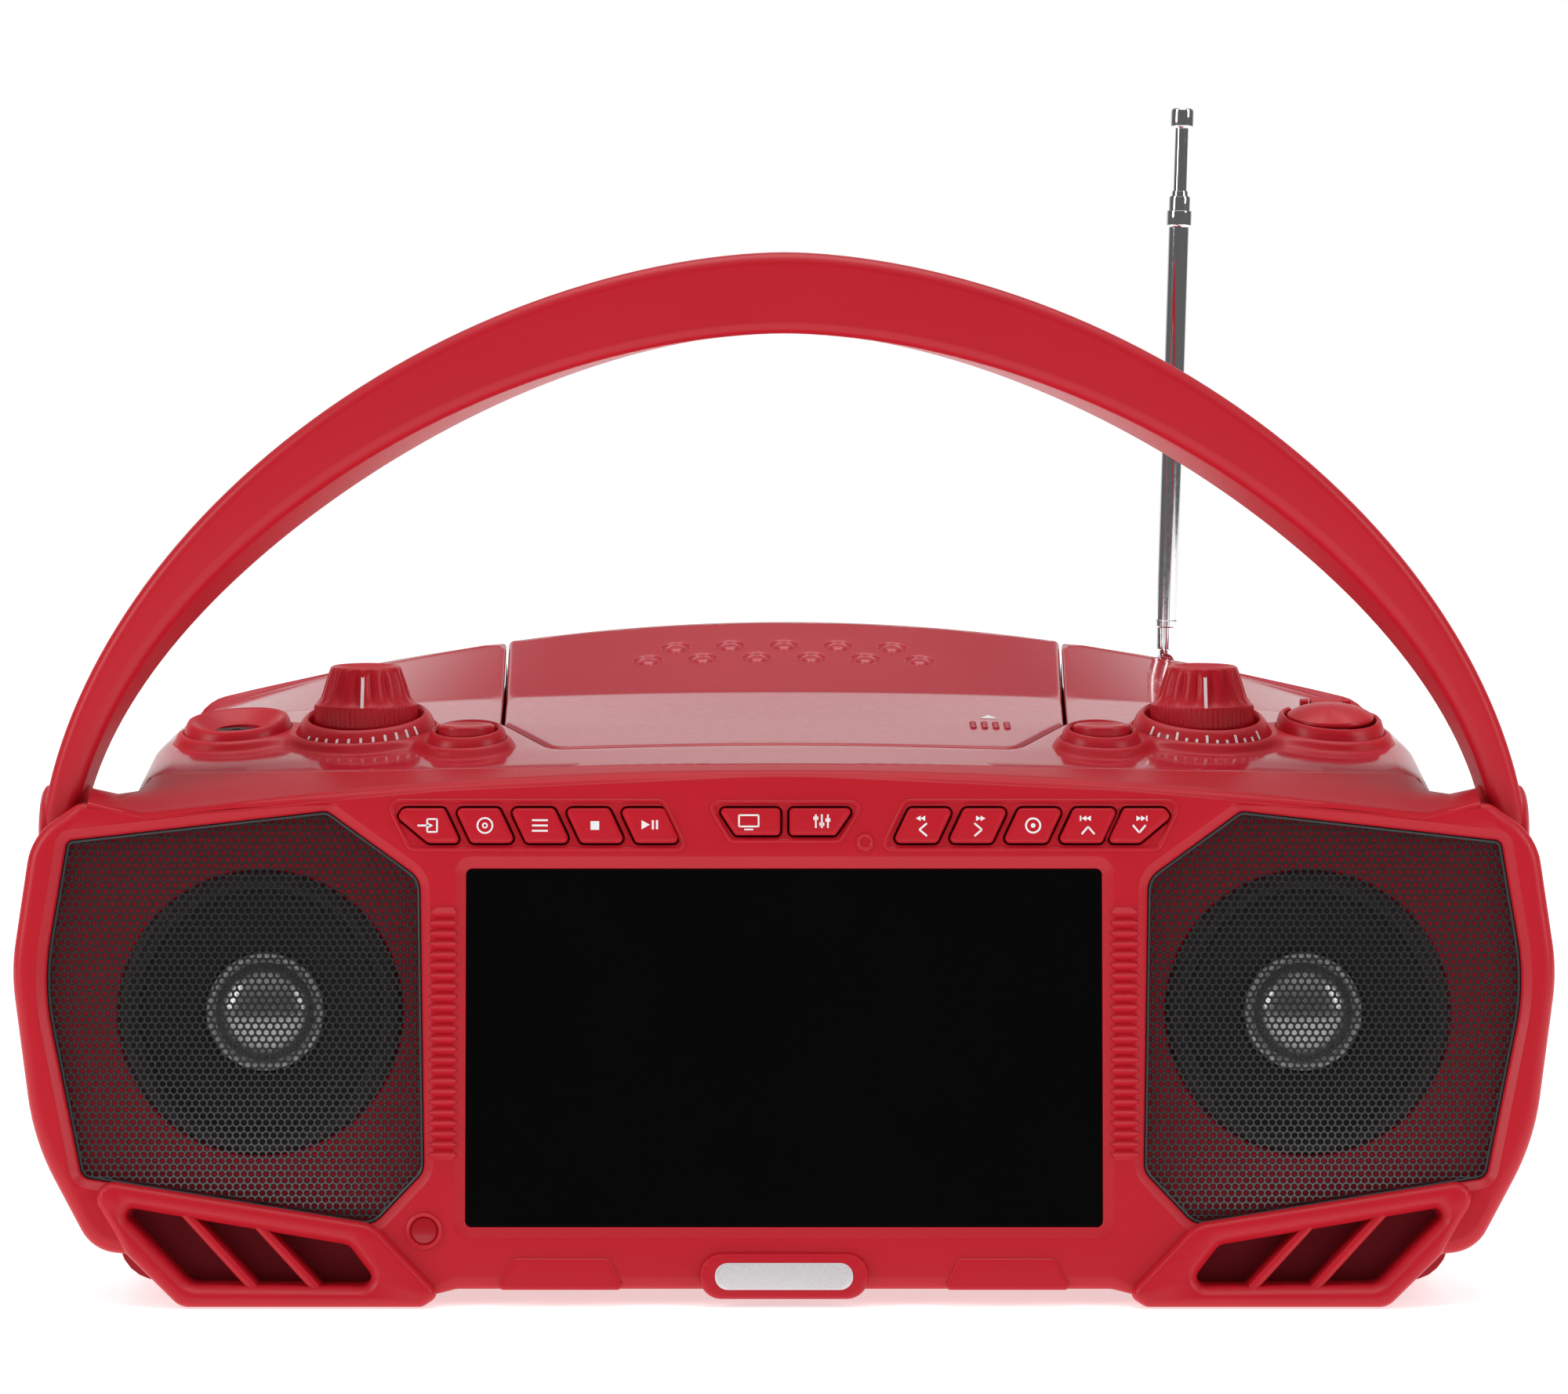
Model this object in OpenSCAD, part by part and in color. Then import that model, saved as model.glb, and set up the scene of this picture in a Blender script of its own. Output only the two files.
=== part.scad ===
// Portable disc player and radio with a built-in screen: a free-standing case with a carrying
// handle. Millimetres. X runs to the right, Y to the back and Z up from the feet.

/* [Case] */
// Widest width of the front shell
shell_w = 376.8; // [376:0.2:378]
// Width of the body behind the front shell
body_w = 326; // [322:1:326]
// Overall depth, from the vent feet to the back
depth = 196; // [195:1:198]
// Lean of the front face, in degrees
lean = 8; // [7.5:0.5:8.5]
// Thickness of the outer walls
wall = 2.5; // [2.2:0.1:2.8]

/* [Screen] */
// Width of the screen window
screen_w = 155.6; // [150:0.2:156]
// Height of the screen window
screen_h = 87.4; // [84:0.2:88]

/* [Handle] */
// Height of the handle's top above the feet
handle_top = 255.8; // [250:0.2:260]
// Depth of the handle, front to back
handle_d = 24; // [20:1:24]

/* [Disc] */
// Diameter of the disc well
well_d = 124; // [123:0.5:125]
// Height of the disc's underside
disc_z = 118; // [117:0.5:119]

/* [Antenna] */
// Length of the antenna's outer tube
tube_len = 128; // [120:1:130]
// Lean of the antenna at rest, in degrees
antenna_lean = 1.4; // [0:0.2:2]

/* [Hidden] */
$fn = 48;
eps = 0.01;
front_y = -3;                       // frontmost point, before centring
y_shift = -(front_y + depth / 2);
rear_y = front_y + depth;
face_z = 15;                        // the face plane passes this height
face_y = 2;                         // at this depth
half_w = body_w / 2;
ring_d = 16;                        // depth of the front shell's walls
plate_t = 5;                        // thickness of the front plate
ridge_y = 173;                      // ridge at the back of the top
shelf_y = 178;                      // start of the antenna's shelf
crease_y = 121;                     // crease across the top
deck_t = 3;
disc_y = 113;                       // centre of the disc
spk_x = 128.4;                      // centres of the speakers, on the face
spk_s = 71.5;
hinge_y = 173;                      // lid hinge axis
hinge_z = 147.5;
screen_z = 19.2;                    // bottom edge of the screen window
pivot_y = 37;                       // handle pivot axis
pivot_z = 112;
arch_z = 105;                       // springing line of the handle's arch
knob_x = 106.6;                     // volume and tuning knobs
knob_y = 72;
jack_x = 140;                       // headphone socket, and the flip cap opposite
jack_y = 78;
key_x = 79.8;                       // bass and band buttons
key_y = 54;
ant_x = 105.5;
ant_y = 183;
ant_z = 142.5;                      // tilt axis of the antenna
rail_z = 106;
rail_gap = 24;                      // between the two sled rails
screw_y = disc_y + rail_gap / 2 + 5;
door_x = 45;                        // battery opening: half width, bottom and top
door_z0 = 22;
door_z1 = 72;

// Frames: all parts are drawn with Y counted from the front, then moved to the centred frame.
module placed() { translate([0, y_shift, 0]) children(); }
module leaned() { translate([0, face_y, face_z]) rotate([-lean, 0, 0]) translate([0, 0, -face_z]) children(); }
// A flat outline in X and height, given a thickness backwards from y0
module panel(y0, t) { translate([0, y0 + t, 0]) rotate([90, 0, 0]) linear_extrude(t) children(); }
module along_x(x0, len, r) { translate([x0, 0, 0]) rotate([0, 90, 0]) cylinder(r = r, h = len); }

// Corner rounding: each entry is [x, y, radius]
function unit(v) = v / norm(v);
function corner(a, b, c) = let (
        u = unit([a.x - b.x, a.y - b.y]), v = unit([c.x - b.x, c.y - b.y]), r = b[2],
        half = acos(u * v) / 2, mid = unit(u + v), o = [b.x, b.y] + mid * r / sin(half),
        t0 = [b.x, b.y] + u * r / tan(half) - o, t1 = [b.x, b.y] + v * r / tan(half) - o,
        a0 = atan2(t0.y, t0.x), d = atan2(t1.y, t1.x) - a0,
        turn = d > 180 ? d - 360 : (d < -180 ? d + 360 : d))
    [for (i = [0:4]) o + r * [cos(a0 + turn * i / 4), sin(a0 + turn * i / 4)]];
function rounded(p) = let (n = len(p))
    [for (i = [0:n - 1]) each corner(p[(i + n - 1) % n], p[i], p[(i + 1) % n])];
function mirrored(p) = [for (i = [len(p) - 1:-1:0]) [-p[i].x, p[i].y, p[i][2]]];
function on_face(z) = face_z + (z - face_z) / cos(lean);

// Top surface: a centre line that falls away to both sides
function centre_z(y) = lookup(y, [[0, 127], [18, 129], [27, 130], [50, 132.4], [85, 135.8],
    [crease_y, 139.5], [ridge_y, 154.3], [176, 152.5], [shelf_y, 138.5], [rear_y, 135]]);
function side_drop(y) = lookup(y, [[0, 12], [18, 12], [30, 9.5], [50, 6.5], [80, 5], [crease_y, 9],
    [ridge_y, 28.5], [176, 27], [shelf_y, 12.5], [rear_y, 13]]);
function top_z(x, y) = centre_z(y) - side_drop(y) * pow(x / 171, 2);

// A slab that follows the top surface between two offsets
module top_slab(x0, x1, nx, ys, low, high, flat_high = false) {
    ny = len(ys) - 1;
    xs = [for (i = [0:nx]) x0 + (x1 - x0) * i / nx];
    m = nx + 1;
    half_n = m * (ny + 1);
    lower = [for (y = ys) for (x = xs) [x, y, top_z(x, y) + low]];
    upper = [for (y = ys) for (x = xs) [x, y, flat_high ? high : top_z(x, y) + high]];
    cells = [for (j = [0:ny - 1]) for (i = [0:nx - 1]) j * m + i];
    polyhedron(points = concat(lower, upper), faces = concat(
        [for (c = cells) [c, c + 1, c + m + 1]], [for (c = cells) [c, c + m + 1, c + m]],
        [for (c = cells) [half_n + c, half_n + c + m + 1, half_n + c + 1]],
        [for (c = cells) [half_n + c, half_n + c + m, half_n + c + m + 1]],
        [for (i = [0:nx - 1]) [i, half_n + i, half_n + i + 1, i + 1]],
        [for (i = [0:nx - 1]) let (c = ny * m + i) [c, c + 1, half_n + c + 1, half_n + c]],
        [for (j = [0:ny - 1]) let (c = j * m) [c, c + m, half_n + c + m, half_n + c]],
        [for (j = [0:ny - 1]) let (c = j * m + nx) [c, half_n + c, half_n + c + m, c + m]]));
}
deck_rows = [19.5, 27, 40, 50, 62, 74, 85, 97, 109, crease_y, 134, 147, 160, ridge_y, 176, shelf_y, 186, rear_y - 0.3];
module above_deck(gap = 0) { top_slab(-180, 180, 20, concat([10], deck_rows, [rear_y + 5]), -deck_t - gap, 250, true); }

// Front outline of the shell, right half from the bottom centre, in face coordinates
shell_half = [[84, on_face(4.2), 30], [144, on_face(9), 40], [169, on_face(13.5), 12], [183.5, on_face(40), 60],
    [shell_w / 2 + 0.9, on_face(81), 50], [184.6, on_face(114), 16], [172.5, on_face(122), 5],
    [157, on_face(118.6), 4], [84, on_face(125.1), 200]];
module shell_outline() { polygon(rounded(concat(shell_half, [[0, on_face(128.9), 300]], mirrored(shell_half)))); }

// Grille opening, right side
grille_pts = [[175.8, on_face(112.6), 2], [112, on_face(119.8), 3], [89.1, on_face(103.4), 6],
    [87.9, on_face(32.5), 5], [100.5, on_face(19.3), 6], [171.6, on_face(31), 3], [181.5, on_face(78), 60]];
module grille_outline() { polygon(rounded(grille_pts)); }
module grille_inset(k) { translate([spk_x, spk_s]) scale(k) translate([-spk_x, -spk_s]) grille_outline(); }

// Front buttons: parallelograms in three groups
button_pitch = 13.43;
button_low = on_face(111.9);
button_high = on_face(120.4);
function slanted(x, w, skew) = [[x + skew, button_low, 1], [x + skew + w, button_low, 1], [x + w, button_high, 1], [x, button_high, 1]];
function button_pts(i) = i < 5 ? slanted(-94 + button_pitch * i, 10.9, 4.1)
    : i == 5 ? [[-11.9, on_face(113.8), 0.8], [-0.9, on_face(113.8), 0.8], [-0.9, button_high, 0.8], [-16.3, button_high, 1]]
    : i == 6 ? [[1.3, on_face(113.8), 0.8], [12.6, on_face(113.8), 0.8], [17.2, button_high, 1], [1.3, button_high, 0.8]]
    : slanted(30.6 + button_pitch * (i - 7), 10.9, -4.1);
module button_outline(i) { polygon(rounded(button_pts(i))); }
button_out = 1.6;                   // the buttons stand this proud
lens_x = -87.7;                     // remote receiver, on the face
lens_s = on_face(18.4);

module for_sides() { children(); mirror([1, 0, 0]) children(); }

module front_shell() color("crimson") placed() leaned() difference() {
    union() {
        panel(0, plate_t) shell_outline();
        panel(plate_t - eps, ring_d - plate_t) difference() {
            body_outline(0);
            body_outline(wall);
            translate([-half_w + 6, on_face(100)]) square([body_w - 12, 30]);
        }
        for_sides() speaker_spin() polygon([[41, plate_t - eps], [43.5, plate_t - eps], [43.5, 10],
            [36, ring_d], [31, ring_d], [41, 8]]);
    }
    for_sides() speaker_spin() polygon([[0, plate_t + eps], [41, plate_t + eps], [41, 9.5], [33.5, ring_d + 1], [0, ring_d + 1]]);
    for_sides() panel(-1, plate_t + 2) grille_outline();
    panel(-1, plate_t + 2) translate([-screen_w / 2, on_face(screen_z)]) square([screen_w, screen_h]);
    for (i = [0:11]) panel(-1, plate_t + 2) button_hole(i);
    translate([lens_x, 2.5, lens_s]) rotate([90, 0, 0]) cylinder(r = 4, h = 10, center = true);
}
module button_hole(i) {
    c = [for (k = [0:1]) (button_pts(i)[0][k] + button_pts(i)[2][k]) / 2];
    translate(c) scale(1.09) translate(-c) button_outline(i);
}
module body_outline(inset) {
    w = half_w - inset;
    z0 = on_face(6) + inset;
    polygon(rounded([[-w, z0, 10], [w, z0, 10], [w, on_face(112), 2], [w - 16, on_face(115) - inset, 3],
        [-w + 16, on_face(115) - inset, 3], [-w, on_face(112), 2]]));
}
module tub(inset) {
    w = half_w - inset;
    z0 = 4 + inset;
    y1 = rear_y - 0.3 - inset;
    intersection() {
        translate([0, y1, 0]) rotate([90, 0, 0]) linear_extrude(200)
            polygon(rounded([[-w, z0, 8], [w, z0, 8], [w, 200, 1], [-w, 200, 1]]));
        linear_extrude(300) polygon(rounded([[-w, -20, 1], [w, -20, 1], [w, y1, 14], [-w, y1, 14]]));
    }
}
module before_seam(d) { leaned() translate([-300, -300 + d, -60]) cube([600, 300, 400]); }
module rear_shell() color("firebrick") placed() difference() {
    tub(0);
    difference() {
        tub(wall);
        for_sides() translate([half_w - 9.9, 20, 98]) cube([12, 34, 100]);
    }
    before_seam(ring_d);
    above_deck(0);
    translate([0, pivot_y, pivot_z]) along_x(-200, 400, 4);
    translate([-door_x, rear_y - 6, door_z0]) cube([2 * door_x, 20, door_z1 - door_z0]);
    for_screws() cylinder(r = 3.02, h = 9, center = true);
    hinge_room();
}
module hinge_room() { translate([0, hinge_y, hinge_z]) along_x(-76, 152, 6.8); }

lid_half = [[76, ridge_y + 1.5, 2], [72.5, 85, 8], [58, 50, 6]];
lid_pts = concat(lid_half, [[0, 52, 300]], mirrored(lid_half));
module lid_outline() { polygon(rounded(lid_pts)); }
module top_deck() color("indianred") placed() difference() {
    intersection() {
        top_slab(-half_w, half_w, 24, deck_rows, -deck_t + 0.05, 0);
        linear_extrude(300) polygon(rounded([[-half_w, 0, 1], [half_w, 0, 1], [half_w, rear_y - 0.3, 14],
            [-half_w, rear_y - 0.3, 14]]));
    }
    translate([0, disc_y, 0]) scale(1.008) translate([0, -disc_y, 0]) linear_extrude(300) lid_outline();
    hinge_room();
    for_sides() translate([knob_x, knob_y, 0]) cylinder(r = 5, h = 300);
    for_sides() translate([jack_x, jack_y, 0]) cylinder(r = 6, h = 300);
    for_sides() translate([key_x, key_y, 0]) cylinder(r = 7.6, h = 300);
    translate([ant_x, ant_y, 0]) cylinder(r = 5.2, h = 300);
    before_seam(plate_t);
}
module hinge_lug(x0, len) {
    translate([0, hinge_y, hinge_z]) along_x(x0, len, 2.4);
}
module lid() color("indianred") placed() difference() {
    union() {
        intersection() {
            top_slab(-80, 80, 16, deck_rows, -2.5, 0);
            linear_extrude(300) lid_outline();
        }
        for_sides() {
            hinge_lug(24.3, 8.4);
            translate([24.3, hinge_y - 2.4, hinge_z]) cube([8.4, 4, 4.4]);
        }
        translate([0, disc_y, 126]) difference() {
            cylinder(r = 17, h = 11);
            translate([0, 0, -1]) cylinder(r = 15, h = 9);
        }
    }
    translate([0, hinge_y, hinge_z]) along_x(-40, 80, 1.25);
}
module lid_hinge_pins() color("silver") placed() for_sides() {
    translate([0, hinge_y, hinge_z]) along_x(18, 22, 1.2);
    for (x = [18, 33.2]) difference() {
        union() {
            hinge_lug(x, 5.8);
            translate([x, hinge_y - 2.4, 133]) cube([5.8, 4.8, hinge_z - 133]);
        }
        translate([0, hinge_y, hinge_z]) along_x(x - 1, 8, 1.2);
    }
}
module disc_clamp() color("dimgray") placed() translate([0, disc_y, 0]) {
    translate([0, 0, 122]) cylinder(r = 14, h = 4);
    translate([0, 0, 125.9]) cylinder(r = 10, h = 7.5);
}

// Control islands: three discs joined by narrow waists, raised above the deck
island_h = 4;
module island_plan() {
    difference() {
        union() {
            translate([jack_x, jack_y]) circle(r = 15);
            translate([knob_x, knob_y]) circle(r = 18.5);
            translate([key_x, key_y]) circle(r = 10.8);
            polygon([[jack_x, jack_y + 10], [knob_x, knob_y + 13], [knob_x, knob_y - 13], [jack_x, jack_y - 10]]);
            polygon([[knob_x - 9, knob_y + 9], [key_x - 6, key_y + 6], [key_x + 6, key_y - 6],
                [knob_x + 9, knob_y - 9]]);
        }
        translate([key_x, key_y]) circle(r = 7.6);
        translate([knob_x, knob_y]) circle(r = 5);
        translate([jack_x, jack_y]) circle(r = 6);
    }
}
module right_part() difference() {
    intersection() {
        top_slab(66, 158, 12, [40, 50, 60, 70, 80, 90, 96], 0, island_h);
        linear_extrude(300) island_plan();
    }
    translate([knob_x, knob_y, knob_base]) cylinder(r = 13.4, h = 20);
}
knob_base = top_z(knob_x, knob_y) + island_h;
jack_base = top_z(jack_x, jack_y) + island_h;
key_base = top_z(key_x, key_y) + island_h;
module right_island() color("crimson") placed() difference() {
    right_part();
    translate([jack_x, 0, jack_base]) cap_posts(0.05);
}
module left_island() color("crimson") placed() mirror([1, 0, 0]) right_part();
module headphone_jack() color("black") placed() translate([-jack_x, jack_y, jack_base - 18]) difference() {
    cylinder(r = 5.9, h = 16);
    translate([0, 0, 2]) cylinder(r = 1.8, h = 20);
}
module knob() {
    difference() {
        union() {
            cylinder(r = 12.3, h = 4.5);
            translate([0, 0, 4.4]) rotate_extrude() polygon([[0, 0], [11, 0], [9.6, 6], [8, 9.6], [0, 9.6]]);
        }
        translate([0, 0, -1]) cylinder(r = 3.05, h = 11);
        translate([0, 0, 12.8]) cylinder(r = 6.8, h = 5);
    }
}
module volume_knob() color("crimson") placed() translate([-knob_x, knob_y, knob_base + 0.9]) knob();
module tuning_knob() color("crimson") placed() translate([knob_x, knob_y, knob_base + 0.9]) knob();
module knob_controls() color("silver") placed() for_sides() translate([knob_x, knob_y, knob_base]) {
    translate([0, 0, -16]) cylinder(r = 3, h = 26);
    translate([-8, -8, -18]) cube([16, 16, 6]);
}
module round_key() { cylinder(r = 7.2, h = 9); }
module bass_button() color("crimson") placed() translate([-key_x, key_y, key_base - 7]) round_key();
module band_button() color("crimson") placed() translate([key_x, key_y, key_base - 7]) round_key();
cap_y = jack_y + 12.6;
module socket_cap() color("crimson") placed() translate([jack_x, 0, jack_base]) difference() {
    union() {
        translate([0, jack_y, 2]) cylinder(r = 11, h = 3.2);
        translate([-3, jack_y - 13, 2]) cube([6, 4, 2]);
        translate([0, cap_y, 3.2]) along_x(-4, 8, 1.8);
        translate([-4, cap_y - 4, 2.1]) cube([8, 4, 1.6]);
    }
    translate([0, cap_y, 3.2]) along_x(-9, 18, 0.85);
}
module dc_socket() color("black") placed() translate([jack_x, 0, jack_base]) {
    difference() {
        translate([0, jack_y, -18]) cylinder(r = 5.9, h = 18.5);
        translate([0, jack_y, -15]) cylinder(r = 2.8, h = 30);
    }
    translate([0, cap_y, 3.2]) along_x(-6.5, 13, 0.8);
    cap_posts(0);
}
module cap_posts(gap) { for (x = [-6.5, 4.4]) translate([x - gap, cap_y - 1.4 - gap, -2 - gap]) cube([2.1 + 2 * gap, 2.8 + 2 * gap, 6.6]); }

module front_button(i) color("crimson") placed() leaned() panel(-button_out, 6.5) button_outline(i);
module button_board() color("darkgreen") placed() leaned() {
    translate([-98, 9.6, on_face(109)]) cube([196, 1.6, 13]);
    for (i = [0:11]) translate([(button_pts(i)[0].x + button_pts(i)[2].x) / 2, 9.7, on_face(116.5)])
        rotate([90, 0, 0]) cylinder(r = 2.2, h = 3.4);
}
module grille_panel() panel(1.4, 1) grille_inset(0.993);
module grille_right() color("dimgray") placed() leaned() grille_panel();
module grille_left() color("dimgray") placed() leaned() mirror([1, 0, 0]) grille_panel();
module speaker_spin() { translate([spk_x, 0, spk_s]) rotate([-90, 0, 0]) rotate_extrude() children(); }
module basket() {
    speaker_spin() polygon([[35.5, 6], [40.5, 6], [40.5, 8], [37, 8], [22, 24], [22, 38], [0, 38], [0, 24],
        [19.5, 24], [35.5, 7.5]]);
}
module speaker_right() color("gray") placed() leaned() basket();
module speaker_left() color("gray") placed() leaned() mirror([1, 0, 0]) basket();
module cone_body() speaker_spin() polygon([[0, 13], [6, 13.6], [11, 15.5], [13.5, 18.4], [31, 6.9], [34.6, 6.5],
    [34.6, 7.5], [32, 8], [14, 22], [13, 23.2], [0, 23.2]]);
module cone_right() color("black") placed() leaned() cone_body();
module cone_left() color("black") placed() leaned() mirror([1, 0, 0]) cone_body();
module screen_box(grow, y0, t) {
    translate([-screen_w / 2 - grow, y0, on_face(screen_z) - grow]) cube([screen_w + 2 * grow, t, screen_h + 2 * grow]);
}
module screen_window() color("black") placed() leaned() screen_box(-0.15, 1.2, 1.5);
module lcd_panel() color("darkslategray") placed() leaned() screen_box(2.5, 5.2, 5);
module receiver_lens() color("black") placed() leaned() translate([lens_x, 0.6, lens_s]) rotate([-90, 0, 0])
    cylinder(r = 3.95, h = 4);
module badge_plate() color("silver") placed() leaned() panel(-1.6, 1.6)
    polygon(rounded([[-20.6, 1.9, 4.5], [20.6, 1.9, 4.5], [20.6, 13.2, 4.5], [-20.6, 13.2, 4.5]]));

foot_pts = [[171.5, on_face(31.5), 4], [100, on_face(20.1), 8], [83.5, on_face(3), 6], [88, -2, 4],
    [147, -2, 6], [160, on_face(12.7), 8]];
module floor_cut() intersection() {
    children();
    translate([-200, front_y, 0]) cube([400, depth, 300]);
}
module louvre(x) polygon([[x, 22], [x + 7, 21], [x + 20, 6.5], [x + 12, 6.5]]);
module foot_body() {
    leaned() difference() {
        panel(-3.2, 3.2) polygon(rounded(foot_pts));
        translate([0, -eps, 0]) panel(-4, 3) intersection() {
            polygon(rounded([for (p = foot_pts) [128 + (p.x - 128) * 0.8, 12.5 + (p.y - 12.5) * 0.68, p[2] * 0.6]]));
            mirror([1, 0]) for (x = [-152, -138, -124]) louvre(x);
        }
    }
    translate([92, 0.6, 0]) cube([52, 26, 3.9]);
}
module vent_foot_right() color("crimson") placed() floor_cut() foot_body();
module vent_foot_left() color("crimson") placed() floor_cut() mirror([1, 0, 0]) foot_body();
module rubber_feet() color("black") placed() for_sides() translate([125, 165, 0]) cylinder(r = 9, h = 3.95);

module main_board() color("darkgreen") placed() {
    translate([-80, 55, 14]) cube([160, 80, 1.6]);
    for (x = [-60, 0, 40]) translate([x, 80, 15.5]) cube([18, 18, 3]);
    for_sides() for (y = [60, 130]) translate([74, y, 6.5]) cylinder(r = 3, h = 7.6);
}
module disc_well() color("dimgray") placed() difference() {
    union() {
        translate([-68, disc_y - 60, 112]) cube([136, 120, 2]);
        translate([0, disc_y, 112]) cylinder(r = well_d / 2 + 2, h = 45, $fn = 96);
    }
    translate([0, disc_y, 114]) cylinder(r = well_d / 2, h = 50, $fn = 96);
    translate([0, disc_y, 100]) cylinder(r = 8, h = 50);
    translate([18, disc_y - 16, 100]) cube([43, 34, 16]);
    above_deck(0.3);
    translate([0, hinge_y, hinge_z]) along_x(-76, 152, 15.2);
}
module spindle() color("silver") placed() translate([0, disc_y, 0]) {
    translate([0, 0, 106]) cylinder(r = 1.5, h = 10);
    translate([0, 0, disc_z - 3]) cylinder(r = 14, h = 3);
    translate([0, 0, disc_z - eps]) rotate_extrude() polygon([[0, 0], [7.4, 0], [7.2, 2], [5, 3.5], [0, 3.5]]);
}
module spindle_motor() color("gray") placed() translate([0, disc_y, 0]) difference() {
    union() {
        translate([0, 0, 98]) cylinder(r = 13, h = 12);
        translate([-13.8, -17, 110]) cube([27.6, 34, 2]);
    }
    translate([0, 0, 104]) cylinder(r = 1.55, h = 20);
}
module laser_sled() color("black") placed() {
    difference() {
        translate([19, disc_y - rail_gap / 2 - 3, rail_z - 3]) cube([16, rail_gap + 12, 6]);
        translate([0, disc_y - rail_gap / 2, rail_z]) along_x(10, 60, 1.55);
        translate([0, disc_y + rail_gap / 2, rail_z]) along_x(10, 60, 1.55);
        translate([0, screw_y, rail_z]) along_x(10, 60, 1.8);
    }
    translate([27, disc_y, rail_z + 3]) cylinder(r = 3.6, h = 7.2);
}
module sled_rails() color("silver") placed() {
    for (y = [disc_y - rail_gap / 2, disc_y + rail_gap / 2]) translate([0, y, rail_z]) along_x(14, 56, 1.5);
    for (x = [14, 67]) difference() {
        translate([x, disc_y - rail_gap / 2 - 3, rail_z - 3]) cube([3, rail_gap + 12, 9]);
        translate([0, screw_y, rail_z]) along_x(10, 70, 1.55);
        for (y = [-1, 1]) translate([0, disc_y + y * rail_gap / 2, rail_z]) along_x(10, 70, 1.5);
    }
}
module lead_screw() color("silver") placed() translate([0, screw_y, rail_z]) {
    along_x(13.5, 57, 1.5);
    along_x(71, 12, 4);
    along_x(70.4, 1, 1.5);
}

// Handle: the ring between two superellipses, above its pivot
module arch(a, b) {
    polygon([for (i = [0:60]) let (t = 180 * i / 60, c = cos(t), s = sin(t))
        [sign(c) * a * pow(abs(c), 2 / 1.8), arch_z + b * pow(s, 2 / 1.8)]]);
}
module handle() color("crimson") placed() difference() {
    union() {
        panel(pivot_y - handle_d / 2, handle_d) difference() {
            arch(184, handle_top - arch_z);
            arch(176, 131);
            translate([-200, arch_z - 10]) square([400, pivot_z - arch_z + 10]);
        }
        for_sides() translate([0, pivot_y, pivot_z]) along_x(172, 12, handle_d / 2);
    }
    translate([0, pivot_y, pivot_z]) along_x(-200, 400, 4.05);
}
module handle_pivots() color("silver") placed() for_sides() translate([0, pivot_y, pivot_z]) {
    along_x(half_w - 10, 184 - half_w + 10, 4);
    along_x(half_w, 171.7 - half_w, 7);
    along_x(half_w - 14, 4, 7);
}

module antenna_up(z0) { translate([ant_x, ant_y, ant_z]) rotate([0, antenna_lean, 0]) translate([0, 0, z0]) children(); }
module antenna_base() color("silver") placed() translate([ant_x, ant_y, 0]) difference() {
    union() {
        translate([0, 0, 124]) cylinder(r = 5, h = 12.5);
        translate([0, 0, 124]) cylinder(r = 7, h = 3);
    }
    translate([0, 0, 127]) cylinder(r = 2.05, h = 20);
}
module antenna_knuckle() color("silver") placed() translate([ant_x, ant_y, 0]) difference() {
    union() {
        translate([0, 0, 128]) cylinder(r = 2, h = 9.5);
        translate([0, 0, 136.8]) cylinder(r = 3.6, h = 1.6);
        for (y = [-3.4, 1.7]) translate([-2.2, y, 138]) cube([4.4, 1.7, ant_z - 138]);
        for (y = [-3.4, 1.7]) translate([0, y + 1.7, ant_z]) rotate([90, 0, 0]) cylinder(r = 2.2, h = 1.7);
        translate([0, 3.4, ant_z]) rotate([90, 0, 0]) cylinder(r = 0.9, h = 6.8);
    }
}
module antenna_tube() color("silver") placed() difference() {
    union() {
        antenna_up(3.1) cylinder(r = 2.75, h = tube_len - 3.1);
        translate([ant_x, ant_y + 1.4, ant_z]) rotate([90, 0, 0]) cylinder(r = 2.2, h = 2.8);
        antenna_up(0) translate([-1.8, -1.4, 0]) cube([3.6, 2.8, 4]);
    }
    translate([ant_x, ant_y + 5, ant_z]) rotate([90, 0, 0]) cylinder(r = 0.95, h = 10);
    antenna_up(8) cylinder(r = 2.35, h = 200);
}
module antenna_middle() color("silver") placed() difference() {
    antenna_up(10) cylinder(r = 2.3, h = tube_len - 10 + 1.5);
    antenna_up(12) cylinder(r = 1.85, h = 200);
}
module antenna_rod() color("silver") placed() {
    antenna_up(30) cylinder(r = 1.8, h = tube_len - 30 + 19);
    antenna_up(tube_len + 18.5) cylinder(r = 3.1, h = 5.6);
}

module battery_pack() color("navy") placed() translate([-42, rear_y - 30, 24]) cube([84, 20, 46]);
module battery_door() color("firebrick") placed() {
    translate([-door_x + 0.5, rear_y - 3, door_z0 + 2.2]) cube([2 * door_x - 1, 2.6, door_z1 - door_z0 - 2.7]);
    translate([0, rear_y - 1.7, door_z0 + 2.2]) along_x(-door_x + 0.5, 2 * door_x - 1, 1.3);
}
module for_screws() { for_sides() for (z = [14, 100]) translate([150, rear_y, z]) rotate([90, 0, 0]) children(); }
module case_screws() color("silver") placed() for_screws() cylinder(r = 3, h = 2.5);

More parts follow.
